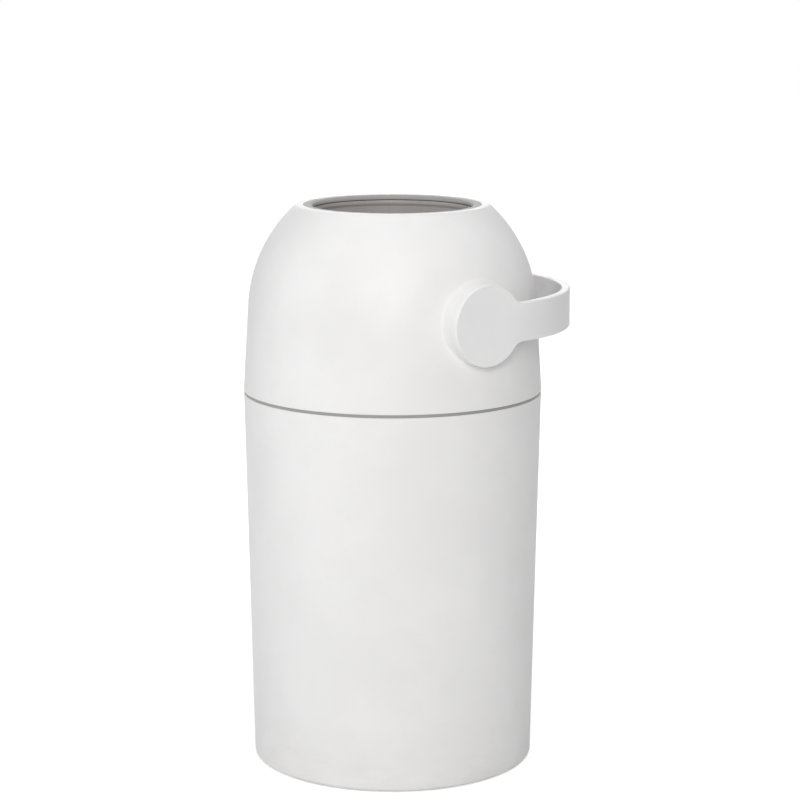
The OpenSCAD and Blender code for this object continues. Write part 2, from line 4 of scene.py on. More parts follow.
import bmesh
import bpy
import numpy as np
from bpy.props import FloatProperty, FloatVectorProperty, IntProperty, PointerProperty
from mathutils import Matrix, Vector


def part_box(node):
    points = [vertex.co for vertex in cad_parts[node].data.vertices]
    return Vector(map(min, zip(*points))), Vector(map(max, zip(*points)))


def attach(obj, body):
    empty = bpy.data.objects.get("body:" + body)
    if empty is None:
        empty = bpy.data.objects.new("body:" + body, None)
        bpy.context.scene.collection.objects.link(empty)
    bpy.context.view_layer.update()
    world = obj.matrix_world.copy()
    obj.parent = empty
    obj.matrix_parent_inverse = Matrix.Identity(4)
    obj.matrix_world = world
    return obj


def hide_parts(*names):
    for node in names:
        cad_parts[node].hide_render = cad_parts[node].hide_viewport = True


bl_info = {
    "name": "Nappy bin with a turning drum",
    "version": (1, 0, 0),
    "blender": (4, 5, 0),
    "location": "3D View > Sidebar > Nappy Bin",
    "description": "Builds the shells, handle and finishes of a nappy bin round its packed frame",
    "category": "Object",
}

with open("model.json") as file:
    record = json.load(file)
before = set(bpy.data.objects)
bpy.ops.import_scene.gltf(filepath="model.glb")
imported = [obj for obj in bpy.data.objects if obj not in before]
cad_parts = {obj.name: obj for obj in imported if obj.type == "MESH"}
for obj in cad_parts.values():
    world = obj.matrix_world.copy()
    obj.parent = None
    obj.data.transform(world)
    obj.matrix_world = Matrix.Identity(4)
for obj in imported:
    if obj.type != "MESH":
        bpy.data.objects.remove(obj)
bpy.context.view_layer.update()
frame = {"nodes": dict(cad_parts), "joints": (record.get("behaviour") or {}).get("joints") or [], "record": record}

# Places that come from the frame, in metres
TURN_JOINT = next(j for j in frame["joints"] if j["name"] == "handle_flip")
PIVOT_Z = TURN_JOINT["pos_m"][2]
PAIL_LOW, PAIL_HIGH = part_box("pail")
RING_LOW, RING_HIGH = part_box("bag_ring")
HOOD_LOW, HOOD_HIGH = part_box("hood")
TUBE_LOW, TUBE_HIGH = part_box("drum_tube")
PISTON_LOW, PISTON_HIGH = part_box("piston_body")
FOOT_LOW, FOOT_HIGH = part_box("foot_ring")
HANDLE_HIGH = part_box("handle")[1]
WASHER_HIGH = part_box("thrust_washers")[1]

MM = 0.001
# Points closer than this are one point
HAIR = 1e-6
# Room between pieces that are fixed together, and between pieces that move
FIT = 0.1 * MM
PLAY = 0.3 * MM
# Thickness of a thrust washer, and the face of each pad, which lies just under its washer
WASHER_T = 1.3 * MM
PAD_Y = WASHER_HIGH.y - WASHER_T - FIT
# How far above and below the turning axis the hood is left open for a pad's patch
PAD_REACH = 48 * MM
# Longest side of a profile that is carried round Z
LONG_SIDE = 12 * MM
# The angle past which an edge of a new piece, and of a frame's own piece, stays sharp
SHARP = math.radians(35)
FRAME_SHARP = math.radians(30)
# Pixels along each side of the picture, and the camera's sensor in mm
PICTURE = 800
SENSOR = 36.0
# Refraction of hard plastic
PLASTIC_IOR = 1.49
# Strength of the even light from all round
WORLD_LIGHT = 0.06
# Each lamp's name, place, aim, width, power in watts and colour
LAMPS = (
    ("front", (-1.3, -1.9, 1.3), (0.0, 0.0, 0.30), 1.4, 36.5, (1.0, 0.997, 0.99)),
    ("left", (-1.9, 1.0, 1.0), (0.0, 0.0, 0.30), 1.4, 16.5, (1.0, 1.0, 1.0)),
    ("top", (0.0, 0.0, 2.4), (0.0, 0.0, 0.30), 1.4, 9.5, (1.0, 1.0, 1.0)),
    ("top_right", (0.9, -0.7, 2.0), (0.0, 0.0, 0.30), 1.4, 7.5, (1.0, 1.0, 1.0)),
    ("back", (1.2, 1.9, 1.2), (0.0, 0.0, 0.30), 1.4, 9.0, (1.0, 1.0, 1.0)),
)


def length(name, default, description):
    """A size property in metres."""
    return FloatProperty(name=name, description=description, default=default, unit="LENGTH", precision=5)


def tint(name, default, description):
    """A colour property."""
    return FloatVectorProperty(name=name, description=description, default=default, size=3,
                               subtype="COLOR", min=0.0, max=1.0)


class PailSizes(bpy.types.PropertyGroup):
    rim_r: length("Rim radius", PAIL_HIGH.x, "Radius of the pail at its rim")
    rim_edge: length("Rim rounding", 0.7 * MM, "Rounding of the rim's edges")
    taper: length("Taper", 7.6 * MM, "How much smaller the foot is than the rim")
    wall: length("Wall", 2.7 * MM, "Wall of the pail")
    edge_r: length("Foot rounding", 4.5 * MM, "Rounding of the pail's bottom edge")
    floor_edge: length("Floor rounding", 1.8 * MM, "Rounding between the wall and the floor, inside")
    floor_rim_w: length("Floor rim", 20 * MM, "Width of the floor's flat rim round its raised middle")
    floor_step_h: length("Floor step", 6 * MM, "Height of the raised middle of the floor")
    step_edge: length("Step rounding", 1 * MM, "Rounding of the step to the raised middle")
    foot_w: length("Foot ring width", 9 * MM, "Width of the foot ring's band")
    foot_edge: length("Foot ring rounding", 0.5 * MM, "Rounding of the foot ring's lower edges")
    collar_h: length("Collar depth", 22 * MM, "Depth of the bag ring's collar in the pail")
    collar_wall: length("Collar wall", 2.2 * MM, "Wall of the bag ring's collar")
    collar_edge: length("Collar rounding", 0.8 * MM, "Rounding of the collar's lower edges")
    band_edge: length("Band rounding", 0.35 * MM, "Rounding of the band's upper edge")
    bag_gap: length("Bag gap", 0.6 * MM, "Room for the bag between collar and pail")


class HoodSizes(bpy.types.PropertyGroup):
    edge_r: length("Edge radius", HOOD_HIGH.x, "Radius of the hood at its lower edge")
    dome_inset: length("Dome inset", 4.8 * MM, "How much smaller the dome's radius is than the edge's")
    dome_drop: length("Dome drop", 4.2 * MM, "How far the dome's middle lies below the turning axis")
    wall: length("Wall", 3 * MM, "Wall of the hood")
    crown_r: length("Crown rounding", 5 * MM, "Rounding of the edge round the mouth")
    mouth_r: length("Mouth radius", 83 * MM, "Radius of the hole that holds the lip")
    rim_w: length("Rim width", 5.2 * MM, "Width of the flat rim round the mouth")
    pad_inset: length("Pad inset", 0.2 * MM, "How much smaller each pad is than the hub")
    pad_fillet: length("Pad fillet", 2 * MM, "Fillet where a pad grows out of the dome")
    pad_draft: length("Pad draft", 1.6 * MM, "How much wider a pad is at its foot than at its face")
    pad_edge: length("Pad edge", 0.2 * MM, "Rounding of a pad's edge")
    bush_hole_r: length("Bush hole", 11.55 * MM, "Radius of the hole for an axle's bush")
    boss_r: length("Boss radius", 18 * MM, "Radius of the boss round that hole")
    boss_t: length("Boss depth", 9 * MM, "Depth of the boss behind the pad's face")
    recess: length("Recess", 6 * MM, "Depth behind the pad's face of the hollow round the boss")
    pillar_r: length("Pillar radius", 4.5 * MM, "Radius of the pillars for the housing's screws")
    pillar_h: length("Pillar height", 20 * MM, "Height of these pillars")
    web_t: length("Web thickness", 2.5 * MM, "Thickness of each pillar's web")
    screw_head_r: length("Screw head", 3.5 * MM, "Radius of the head of a housing screw")
    lip_w: length("Lip width", 7 * MM, "Width of the lip round the mouth")
    lip_over: length("Lip overhang", 1.7 * MM, "How far the lip stands in from the bore")
    lip_h: length("Lip height", 4 * MM, "Height of the lip")
    lip_round: length("Lip rounding", 3.4 * MM, "Rounding of the lip's inner edge")
    lip_wall: length("Lip wall", 2.4 * MM, "Wall of the mouth ring")
    lip_skirt: length("Lip skirt", 15 * MM, "How far the mouth ring runs down inside the dome for its seal")
    tube_lip_w: length("Stop lip width", 1.5 * MM, "How far the lip at each end of the bore tube stands in")
    tube_lip_h: length("Stop lip height", 2 * MM, "Height of that lip at the tube's outer edge")


class HandleSizes(bpy.types.PropertyGroup):
    hub_r: length("Hub radius", 37.5 * MM, "Radius of the handle's round hubs")
    hub_gap: length("Hub gap", 0.35 * MM, "Gap between each hub and its pad")
    hub_edge: length("Hub edge", 0.25 * MM, "Rounding of each hub's inner edge")
    strap_h: length("Strap height", 36 * MM, "Height of the strap")
    strap_t: length("Strap thickness", 8 * MM, "Thickness of the strap")
    arm_l: length("Arm length", 24 * MM, "Straight run of each arm before the bend")
    neck_r: length("Neck rounding", 12 * MM, "Rounding between the strap and the hub")
    edge_r: length("Edge rounding", 1.5 * MM, "Rounding of the handle's edges")
    stop_at_r: length("Stop radius", 26 * MM, "Radius at which the stop pin runs")
    stop_pin_r: length("Stop pin", 2.6 * MM, "Radius of the stop pin")
    stop_depth: length("Stop groove", 3 * MM, "Depth of the groove for the stop pin")


class PistonSizes(bpy.types.PropertyGroup):
    edge_r: length("Edge rounding", 1.2 * MM, "Rounding of the piston's ends")
    groove: length("Groove depth", 1.2 * MM, "Depth of the grooves for the wiper rings")
    groove_h: length("Groove height", 3 * MM, "Height of each groove")
    inset: length("Groove inset", 5 * MM, "Distance of each groove from the piston's end")
    dish: length("Dish depth", 0.8 * MM, "Depth of the shallow dish in each end")
    dish_in: length("Dish border", 7 * MM, "Width of the flat border round each dish")
    dish_edge: length("Dish rounding", 0.5 * MM, "Rounding of the dish's edge")


class Finishes(bpy.types.PropertyGroup):
    shell: tint("Shell", (0.850, 0.843, 0.844), "White of the hood and the pail")
    handle: tint("Handle", (0.848, 0.842, 0.845), "White of the handle")
    lip: tint("Lip", (0.345, 0.342, 0.338), "Pale grey of the lip and the piston")
    band: tint("Band", (0.315, 0.315, 0.315), "Grey of the bag ring")
    bore: tint("Bore", (0.425, 0.396, 0.388), "Warm grey of the drum and its bore")
    bush: tint("Bush", (0.60, 0.60, 0.58), "Natural white of the bushes")
    rubber: tint("Rubber", (0.075, 0.075, 0.08), "Dark grey of the foot ring and the seals")
    steel: tint("Steel", (0.62, 0.62, 0.64), "Zinc and turned steel")
    dust: tint("Dust", (0.56, 0.545, 0.52), "Dull dust near the floor")
    rubbed: tint("Rubbed", (0.62, 0.61, 0.6), "Where the hood rubs at the seam")
    touched: tint("Touched", (0.72, 0.70, 0.67), "Where use has polished the strap")


class StageSizes(bpy.types.PropertyGroup):
    azimuth: FloatProperty(name="Camera azimuth", default=math.radians(-36), subtype="ANGLE", unit="ROTATION",
                           description="Where the camera stands, 0 looking along +Y")
    distance: length("Camera distance", 2.4175, "Level distance of the camera from the bin's axis")
    height: length("Camera height", 0.7928, "Height of the camera above the floor")
    pitch: FloatProperty(name="Camera pitch", default=math.radians(10.555), subtype="ANGLE", unit="ROTATION",
                         description="How far the camera looks down")
    lens: FloatProperty(name="Lens", default=117.4, min=20.0,
                        description="Focal length in mm on a 36 mm sensor")
    axis_px: FloatProperty(name="Axis in the picture", default=392.55,
                           description="Pixel column of the bin's axis in the 800 pixel frame")
    segments: IntProperty(name="Segments", default=256, min=64, description="Steps round the shells")
    floor_r: length("Floor radius", 9.0, "Radius of the floor")
    floor_grey: FloatProperty(name="Floor grey", default=0.80,
                              description="How much light the floor sends back")
    glow: FloatProperty(name="Glow", default=0.52, description="The floor's own light under the bin")
    glow_more: FloatProperty(name="Glow gain", default=0.65, description="How much more it glows far away")
    glow_from: length("Glow start", 0.15, "Distance at which the glow starts to grow")
    glow_to: length("Glow end", 1.2, "Distance at which it has its full strength")


# Surfaces: arrays of points and faces

def arc(cx, cz, radius, start, end, steps):
    """Points (steps + 1, 2) on a circle about (cx, cz), from angle start to angle end in radians."""
    a = np.linspace(start, end, steps + 1)
    return np.stack([cx + radius * np.cos(a), cz + radius * np.sin(a)], axis=1)


def rounded(corners, radii, steps=6):
    """A path through corners (n, 2) whose inner corners are arcs of the given radii, 0 where sharp.
    Each arc touches both sides at radius / tan(half the corner's angle) from the corner."""
    corners = np.asarray(corners, float)
    out = [corners[:1]]
    for i in range(1, len(corners) - 1):
        p, r = corners[i], radii[i]
        if r == 0:
            out.append(p[None])
            continue
        u = (corners[i - 1] - p) / np.linalg.norm(corners[i - 1] - p)
        v = (corners[i + 1] - p) / np.linalg.norm(corners[i + 1] - p)
        half = math.acos(np.clip(u @ v, -1, 1)) / 2
        mid = (u + v) / np.linalg.norm(u + v)
        centre = p + mid * r / math.sin(half)
        a = p + u * r / math.tan(half) - centre
        b = p + v * r / math.tan(half) - centre
        t = np.linspace(0, 1, steps + 1)[:, None]
        turn = math.pi - 2 * half
        out.append(centre + (np.sin((1 - t) * turn) * a + np.sin(t * turn) * b) / math.sin(turn))
    out.append(corners[-1:])
    return np.concatenate(out)


def split_long(path, step):
    """The same path with its long sides cut into pieces of at most step."""
    out = [path[:1]]
    for a, b in zip(path[:-1], path[1:]):
        n = max(1, math.ceil(np.linalg.norm(b - a) / step))
        t = np.linspace(0, 1, n + 1)[1:, None]
        out.append(a + (b - a) * t)
    return np.concatenate(out)


def grid_faces(rows, cols, wrap_rows=False, wrap_cols=False):
    """Quads of a grid of rows x cols points that are numbered row by row."""
    i = np.arange(rows if wrap_rows else rows - 1)
    j = np.arange(cols if wrap_cols else cols - 1)
    i, j = (a.ravel() for a in np.meshgrid(i, j, indexing="ij"))
    down, right = (i + 1) % rows, (j + 1) % cols
    return np.stack([i * cols + j, i * cols + right, down * cols + right, down * cols + j], axis=1)


def revolved(path, segments):
    """A path (n, 2) of radius and height carried round Z: point (i, j) is
    (radius j x cos angle i, radius j x sin angle i, height j). Ends on the axis become poles."""
    a = np.arange(segments) * 2 * math.pi / segments
    r, z = path[:, 0], path[:, 1]
    heights = np.broadcast_to(z, (segments, len(z)))
    points = np.stack([np.outer(np.cos(a), r), np.outer(np.sin(a), r), heights], axis=-1)
    return points.reshape(-1, 3), grid_faces(segments, len(path), wrap_rows=True)


def closed_loop(corners, radii, steps=6):
    """A closed profile with rounded corners that starts and ends between its last and first corners."""
    corners = np.asarray(corners, float)
    start = (corners[0] + corners[-1]) / 2
    path = rounded(np.concatenate([[start], corners, [start]]), [0, *radii, 0], steps)
    return split_long(path, LONG_SIDE)


def joined(*parts):
    """Several (points, faces) as one."""
    points, faces, first = [], [], 0
    for p, f in parts:
        points.append(p)
        faces.append(f + first)
        first += len(p)
    return np.concatenate(points), np.concatenate(faces)


def rod(radius, low, high, segments=32, edge=0.3 * MM):
    """A closed cylinder along Z with rounded edges: a profile from pole to pole carried round Z."""
    path = rounded([(0, low), (radius, low), (radius, high), (0, high)], [0, edge, edge, 0], 3)
    return revolved(path, segments)


def put_in(name, surface, body, slot_name, nodes):
    """Makes the surface a piece in its slot's finish, which rides on a body and replaces some nodes. Its
    doubles are merged, its faces point outwards, and it is smooth apart from sharp edges."""
    points, faces = surface
    mesh = bpy.data.meshes.new(name)
    mesh.from_pydata(points.tolist(), [], faces.tolist())
    work = bmesh.new()
    work.from_mesh(mesh)
    bmesh.ops.remove_doubles(work, verts=work.verts, dist=2 * HAIR)
    bmesh.ops.dissolve_degenerate(work, edges=work.edges, dist=HAIR)
    bmesh.ops.recalc_face_normals(work, faces=work.faces)
    work.to_mesh(mesh)
    work.free()
    mesh.shade_smooth()
    mesh.set_sharp_from_angle(angle=SHARP)
    piece = bpy.data.objects.new(name, mesh)
    bpy.context.scene.collection.objects.link(piece)
    mesh.materials.append(finish_for(slot_name))
    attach(piece, body)
    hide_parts(*nodes)


# Finishes

class Value:
    """A socket of a material's nodes on which arithmetic adds Math nodes."""

    def __init__(self, paint, socket):
        self.paint = paint
        self.socket = socket

    def math(self, operation, *others):
        """A Math node on this socket and the others."""
        return self.paint.node("ShaderNodeMath", {"operation": operation}, dict(enumerate([self, *others])))

    def __add__(self, other):
        return self.math("ADD", other)

    def __radd__(self, other):
        return self.math("ADD", other)

    def __sub__(self, other):
        return self.math("SUBTRACT", other)

    def __rsub__(self, other):
        return (self * -1.0).math("ADD", other)

    def __mul__(self, other):
        return self.math("MULTIPLY", other)

    def __rmul__(self, other):
        return self.math("MULTIPLY", other)

    def between(self, low, high):
        """0 below low, 1 above high and smooth between them, or the other way round if low > high."""
        if low > high:
            return 1 - self.between(high, low)
        return self.paint.node("ShaderNodeMapRange", {"interpolation_type": "SMOOTHSTEP"},
                               {"Value": self, "From Min": low, "From Max": high})


# Sockets of a Mix node that mixes colours: the amount, both colours, and the result
AMOUNT, COLOUR_A, COLOUR_B, MIXED = 0, 6, 7, 2


class Nodes:
    """A node tree under construction."""

    def __init__(self, tree):
        self.tree = tree
        tree.nodes.clear()

    def fill(self, node, sockets):
        """Links a node's sockets to Values, and sets the others to plain values."""
        for key, value in sockets.items():
            if isinstance(value, Value):
                self.tree.links.new(value.socket, node.inputs[key])
            else:
                node.inputs[key].default_value = value

    def node(self, kind, settings=None, sockets=None, output=0):
        """A new node with its settings and sockets, as the Value of one output."""
        node = self.tree.nodes.new(kind)
        for key, value in (settings or {}).items():
            setattr(node, key, value)
        self.fill(node, sockets or {})
        return Value(self, node.outputs[output]) if node.outputs else None

    def seen(self):
        """1 where the camera, a gloss or a clear piece looks at the surface, and 0 where it only gives
        light."""
        camera, gloss, clear = (self.node("ShaderNodeLightPath", output=f"Is {kind} Ray")
                                for kind in ("Camera", "Glossy", "Transmission"))
        return camera.math("MAXIMUM", gloss).math("MAXIMUM", clear)


class Paint(Nodes):
    """A material under construction, whose pattern reads the object's own coordinates."""

    def __init__(self, name):
        self.material = bpy.data.materials.new(name)
        self.material.use_nodes = True
        super().__init__(self.material.node_tree)
        self.shader = self.node("ShaderNodeBsdfPrincipled")
        self.at = self.node("ShaderNodeTexCoord", output="Object")

    def stretched(self, x, y, z):
        """Object coordinates times a factor along each axis, per metre."""
        sockets = {"Vector": self.at, "Scale": (x, y, z)}
        return self.node("ShaderNodeMapping", {"vector_type": "POINT"}, sockets)

    def noise(self, coordinates, scale=1.0, detail=2.0, rough=0.5, warp=0.0):
        """Cloudy noise from 0 to 1 with scale cells per metre."""
        return self.node("ShaderNodeTexNoise", {}, {"Vector": coordinates, "Scale": scale, "Detail": detail,
                                                    "Roughness": rough, "Distortion": warp})

    def axis(self, name):
        """The coordinate along one axis, in metres."""
        return self.node("ShaderNodeSeparateXYZ", {}, {"Vector": self.at}, name)

    def mix(self, amount, a, b):
        """Colour a where amount is 0 and colour b where it is 1."""
        sockets = {AMOUNT: amount, COLOUR_A: a, COLOUR_B: b}
        return self.node("ShaderNodeMix", {"data_type": "RGBA"}, sockets, MIXED)

    def bump(self, height, depth):
        """A bump of the given depth in metres."""
        self.dress(Normal=self.node("ShaderNodeBump", {}, {"Height": height, "Distance": depth}))

    def dress(self, **sockets):
        """Sets sockets of the shader, by their names with _ for each space."""
        self.fill(self.shader.socket.node, {key.replace("_", " "): value for key, value in sockets.items()})

    def output(self, shader):
        """Ends the material in a shader."""
        self.node("ShaderNodeOutputMaterial", {}, {"Surface": shader})
        return self.material

    def finish(self, **sockets):
        """Sets the shader's last sockets and ends the material in it."""
        self.dress(**sockets)
        return self.output(self.shader)


def shade(colour, factor):
    """A colour with alpha, made darker or lighter by a factor."""
    return tuple(min(1.0, c * factor) for c in colour) + (1.0,)


def moulded(name, colour, rough, grain=0.45 * MM, grain_depth=0.012 * MM, drift=0.03, scuff=0.0):
    """Spark-eroded moulded plastic: a fine grain, a slow drift of tone and gloss, and light scuffs."""
    paint = Paint(name)
    fine = paint.noise(paint.at, 1 / grain, detail=3.0, rough=0.6)
    slow = paint.noise(paint.at, 11.0, detail=3.0)
    cloud = paint.noise(paint.at, 55.0, detail=4.0, rough=0.65)
    base = paint.mix(slow.between(0.3, 0.7), shade(colour, 1 - drift), shade(colour, 1 + drift / 2))
    base = paint.mix(cloud.between(0.45, 0.85) * 0.5, base, shade(colour, 1 - 1.5 * drift))
    gloss = rough + (cloud - 0.5) * 0.10 + (fine - 0.5) * 0.08
    if scuff:
        long_marks = paint.noise(paint.stretched(700, 700, 60), detail=3.0, rough=0.7, warp=0.4)
        marks = long_marks.between(0.66, 0.74) * cloud.between(0.5, 0.7) * scuff
        base = paint.mix(marks * 0.35, base, shade(colour, 0.72))
        gloss = gloss + marks * 0.15
    paint.bump(fine + slow * 6.0, grain_depth)
    return paint, base, gloss


def shell_white(finishes):
    """White hood and pail: moulded plastic, a little dull dust near the floor and rubbing at the seam."""
    paint, base, gloss = moulded("white_moulded", finishes.shell, 0.50, scuff=0.5)
    height = paint.axis("Z")
    patches = paint.noise(paint.stretched(26, 26, 60), detail=5.0, rough=0.7)
    low = height.between(0.075, 0.002) * patches.between(0.35, 0.75)
    rubbed = (height - RING_HIGH.z).math("ABSOLUTE").between(0.012, 0.001) * patches.between(0.5, 0.8)
    base = paint.mix(low * 0.16, base, shade(finishes.dust, 1.0))
    base = paint.mix(rubbed * 0.10, base, shade(finishes.rubbed, 1.0))
    gloss = gloss + low * 0.18 - rubbed * 0.08
    return paint.finish(Base_Color=base, Roughness=gloss, IOR=PLASTIC_IOR)


def handle_white(finishes):
    """White handle: the same plastic, polished by use along the middle of the strap."""
    paint, base, gloss = moulded("handle_moulded", finishes.handle, 0.50, grain=0.4 * MM, scuff=0.35)
    touched = paint.axis("X").between(0.07, 0.15) * paint.noise(paint.at, 40.0, detail=3.0).between(0.3, 0.6)
    base = paint.mix(touched * 0.06, base, shade(finishes.touched, 1.0))
    return paint.finish(Base_Color=base, Roughness=gloss - touched * 0.12, IOR=PLASTIC_IOR)


def lip_grey(finishes):
    """Pale grey lip and piston: rubbed round the edge by what goes through."""
    paint, base, gloss = moulded("lip_moulded", finishes.lip, 0.60, grain=0.5 * MM, scuff=0.8)
    return paint.finish(Base_Color=base, Roughness=gloss, IOR=PLASTIC_IOR)


def band_grey(finishes):
    """Grey bag ring: matt, with fine flow lines that run round it."""
    paint, base, gloss = moulded("band_moulded", finishes.band, 0.5, grain=0.5 * MM)
    lines = paint.noise(paint.stretched(20, 20, 2500), detail=2.0)
    base = paint.mix(lines.between(0.4, 0.7) * 0.2, base, shade(finishes.band, 0.85))
    return paint.finish(Base_Color=base, Roughness=gloss + (lines - 0.5) * 0.1, IOR=PLASTIC_IOR)


def bore_grey(finishes):
    """Warm grey drum, tube and housing: long sliding marks along the bore and a worn sheen."""
    paint, base, gloss = moulded("bore_moulded", finishes.bore, 0.38, grain=0.6 * MM, drift=0.05)
    runs = paint.noise(paint.stretched(420, 420, 7), detail=4.0, rough=0.6)
    marks = runs.between(0.55, 0.72)
    base = paint.mix(marks * 0.30, base, shade(finishes.bore, 1.25))
    base = paint.mix(runs.between(0.42, 0.3) * 0.35, base, shade(finishes.bore, 0.8))
    return paint.finish(Base_Color=base, Roughness=gloss + marks * 0.12, IOR=PLASTIC_IOR)


def bush_white(finishes):
    """Natural slippery plastic of the bushes, a little waxy."""
    paint, base, gloss = moulded("bush_moulded", finishes.bush, 0.33, grain=0.8 * MM, grain_depth=0.006 * MM)
    return paint.finish(Base_Color=base, Roughness=gloss, IOR=1.48)


def rubber_dark(finishes, name="soft_rubber"):
    """Dark soft rubber: a dull bloom in patches over a fine matt grain."""
    paint = Paint(name)
    fine = paint.noise(paint.at, 1 / (0.5 * MM), detail=3.0, rough=0.7)
    bloom = paint.noise(paint.at, 60.0, detail=5.0, rough=0.7)
    base = paint.mix(bloom.between(0.35, 0.75), shade(finishes.rubber, 0.9), shade(finishes.rubber, 1.6))
    paint.bump(fine, 0.03 * MM)
    return paint.finish(Base_Color=base, Roughness=0.62 + (bloom - 0.5) * 0.2)


def turned_steel(finishes):
    """Turned axle steel: fine rings along the axle's length and darker stains in patches."""
    paint = Paint("axle_turned")
    rings = paint.noise(paint.stretched(30, 5200, 30), detail=2.0)
    stain = paint.noise(paint.at, 180.0, detail=4.0)
    base = paint.mix(stain.between(0.4, 0.75) * 0.5, shade(finishes.steel, 1.0), shade(finishes.steel, 0.75))
    paint.bump(rings, 0.01 * MM)
    gloss = 0.28 + (rings - 0.5) * 0.16 + (stain - 0.5) * 0.1
    return paint.finish(Base_Color=base, Roughness=gloss, Metallic=1.0)


def zinc_steel(finishes):
    """Zinc-plated screws: a dull spangle of lighter and darker cells."""
    paint = Paint("screw_zinc")
    spangle = paint.node("ShaderNodeTexVoronoi", {}, {"Vector": paint.at, "Scale": 900.0}, "Color")
    tone = paint.node("ShaderNodeRGBToBW", {}, {"Color": spangle})
    base = paint.mix(tone, shade(finishes.steel, 0.82), shade(finishes.steel, 1.05))
    return paint.finish(Base_Color=base, Roughness=0.30 + tone * 0.14, Metallic=1.0)


def foot_dark(finishes):
    """The foot ring's rubber."""
    return rubber_dark(finishes, "foot_rubber")


# Which finish each of the record's material slots gets
FINISHERS = {
    "white_plastic": shell_white, "handle_plastic": handle_white, "lip_plastic": lip_grey,
    "band_plastic": band_grey, "bore_plastic": bore_grey, "bush_plastic": bush_white,
    "foot_rubber": foot_dark, "seal_rubber": rubber_dark, "screw_steel": zinc_steel,
    "axle_steel": turned_steel,
}
made = {}


def finish_for(slot_name):
    """The material of a slot, made once."""
    if slot_name not in made:
        made[slot_name] = FINISHERS[slot_name](bpy.context.scene.bin_finishes)
    return made[slot_name]


# Shapes of the bin

def pail_lines(sizes):
    """The pail's outer and inner wall radius as functions of height, and the slope's angle."""
    foot_z = PAIL_LOW.z
    slope = sizes.taper / (PAIL_HIGH.z - foot_z)
    lean = math.atan(slope)
    outside = lambda z: sizes.rim_r - (PAIL_HIGH.z - z) * slope
    inside = lambda z: outside(z) - sizes.wall / math.cos(lean)
    return outside, inside, lean


def pail_surface(sizes, segments):
    """The pail: from the middle of its underside over the step, the groove for the foot ring, the
    rounded foot, up the tapered wall, over the rim, down inside and across the floor to the middle."""
    outside, inside, lean = pail_lines(sizes)
    foot_z, top = PAIL_LOW.z, PAIL_HIGH.z
    edge_x = outside(foot_z + sizes.edge_r) - sizes.edge_r / math.cos(lean)
    side = sizes.floor_step_h / 2
    step_r = edge_x - sizes.floor_rim_w - side
    step_z, wall = foot_z + sizes.floor_step_h, sizes.wall
    groove_z = FOOT_HIGH.z
    groove_out = FOOT_HIGH.x + FIT
    groove_in = step_r + side + edge_x - FOOT_HIGH.x - FIT
    corners = [(0, step_z), (step_r, step_z), (step_r + side, foot_z), (groove_in, foot_z),
               (groove_in, groove_z), (groove_out, groove_z), (groove_out, foot_z),
               (outside(foot_z), foot_z), (outside(top), top), (inside(top), top),
               (inside(foot_z + wall), foot_z + wall), (step_r + side + wall, foot_z + wall),
               (step_r + wall, step_z + wall), (0, step_z + wall)]
    soft, crisp, rim = sizes.step_edge, 0.2 * MM, sizes.rim_edge
    radii = [0, soft, soft, crisp, 0, 0, crisp, sizes.edge_r, rim, rim, sizes.floor_edge, soft, soft, 0]
    return revolved(split_long(rounded(corners, radii, 8), LONG_SIDE), segments)


def foot_surface(sizes, segments):
    """The foot ring: a flat band with rounded edges carried round Z."""
    outer, low, high = FOOT_HIGH.x, FOOT_LOW.z, FOOT_HIGH.z
    inner, edge, crisp = outer - sizes.foot_w, sizes.foot_edge, 0.1 * MM
    corners = [(inner, low), (outer, low), (outer, high), (inner, high)]
    return revolved(closed_loop(corners, [edge, edge, crisp, crisp], steps=4), segments)


def ring_surface(sizes, segments):
    """The bag ring: a flange that shows as the band, over a collar that hangs in the pail."""
    inside = pail_lines(sizes)[1]
    outer = inside(PAIL_HIGH.z - sizes.collar_h) - sizes.bag_gap
    inner = outer - sizes.collar_wall
    low, seat, top, band_r = RING_LOW.z, PAIL_HIGH.z, RING_HIGH.z, RING_HIGH.x
    corners = [(inner, low), (outer, low), (outer, seat), (band_r, seat), (band_r, top), (inner, top)]
    radii = [sizes.collar_edge, sizes.collar_edge, 0.2 * MM, sizes.band_edge, sizes.band_edge, 0.6 * MM]
    return revolved(closed_loop(corners, radii, steps=4), segments)


class HoodShape:
    """The hood's outline: a cone, the skirt, and a sphere, the dome, that meet without a corner. Heights
    are measured from the turning axis."""

    def __init__(self, sizes):
        self.sizes = sizes
        self.low = HOOD_LOW.z - PIVOT_Z
        self.top = HOOD_HIGH.z - PIVOT_Z
        self.dome_r = sizes.edge_r - sizes.dome_inset
        self.middle = -sizes.dome_drop
        drop = self.low - self.middle
        self.lean = math.acos(self.dome_r / math.hypot(sizes.edge_r, drop)) + math.atan2(drop, sizes.edge_r)

    def radius(self, z, inset=0.0):
        """Radius at height z of the surface that lies inset inside the outline."""
        z = np.asarray(z, float)
        dome_r, above = self.dome_r - inset, z - self.middle
        dome = np.sqrt(np.maximum(dome_r ** 2 - above ** 2, 0))
        skirt = self.sizes.edge_r - (z - self.low) * math.tan(self.lean) - inset / math.cos(self.lean)
        return np.where(above > dome_r * math.sin(self.lean), dome, skirt)

    def depth(self, x, z, inset=0.0):
        """Distance along Y of that surface at (x, z)."""
        return np.sqrt(np.maximum(self.radius(z, inset) ** 2 - x ** 2, 0))

    def dome_arc(self, inset, start, end, steps):
        """The dome's profile from height start to height end."""
        dome_r = self.dome_r - inset
        angles = [math.asin((z - self.middle) / dome_r) for z in (start, end)]
        return arc(0, self.middle, dome_r, *angles, steps)


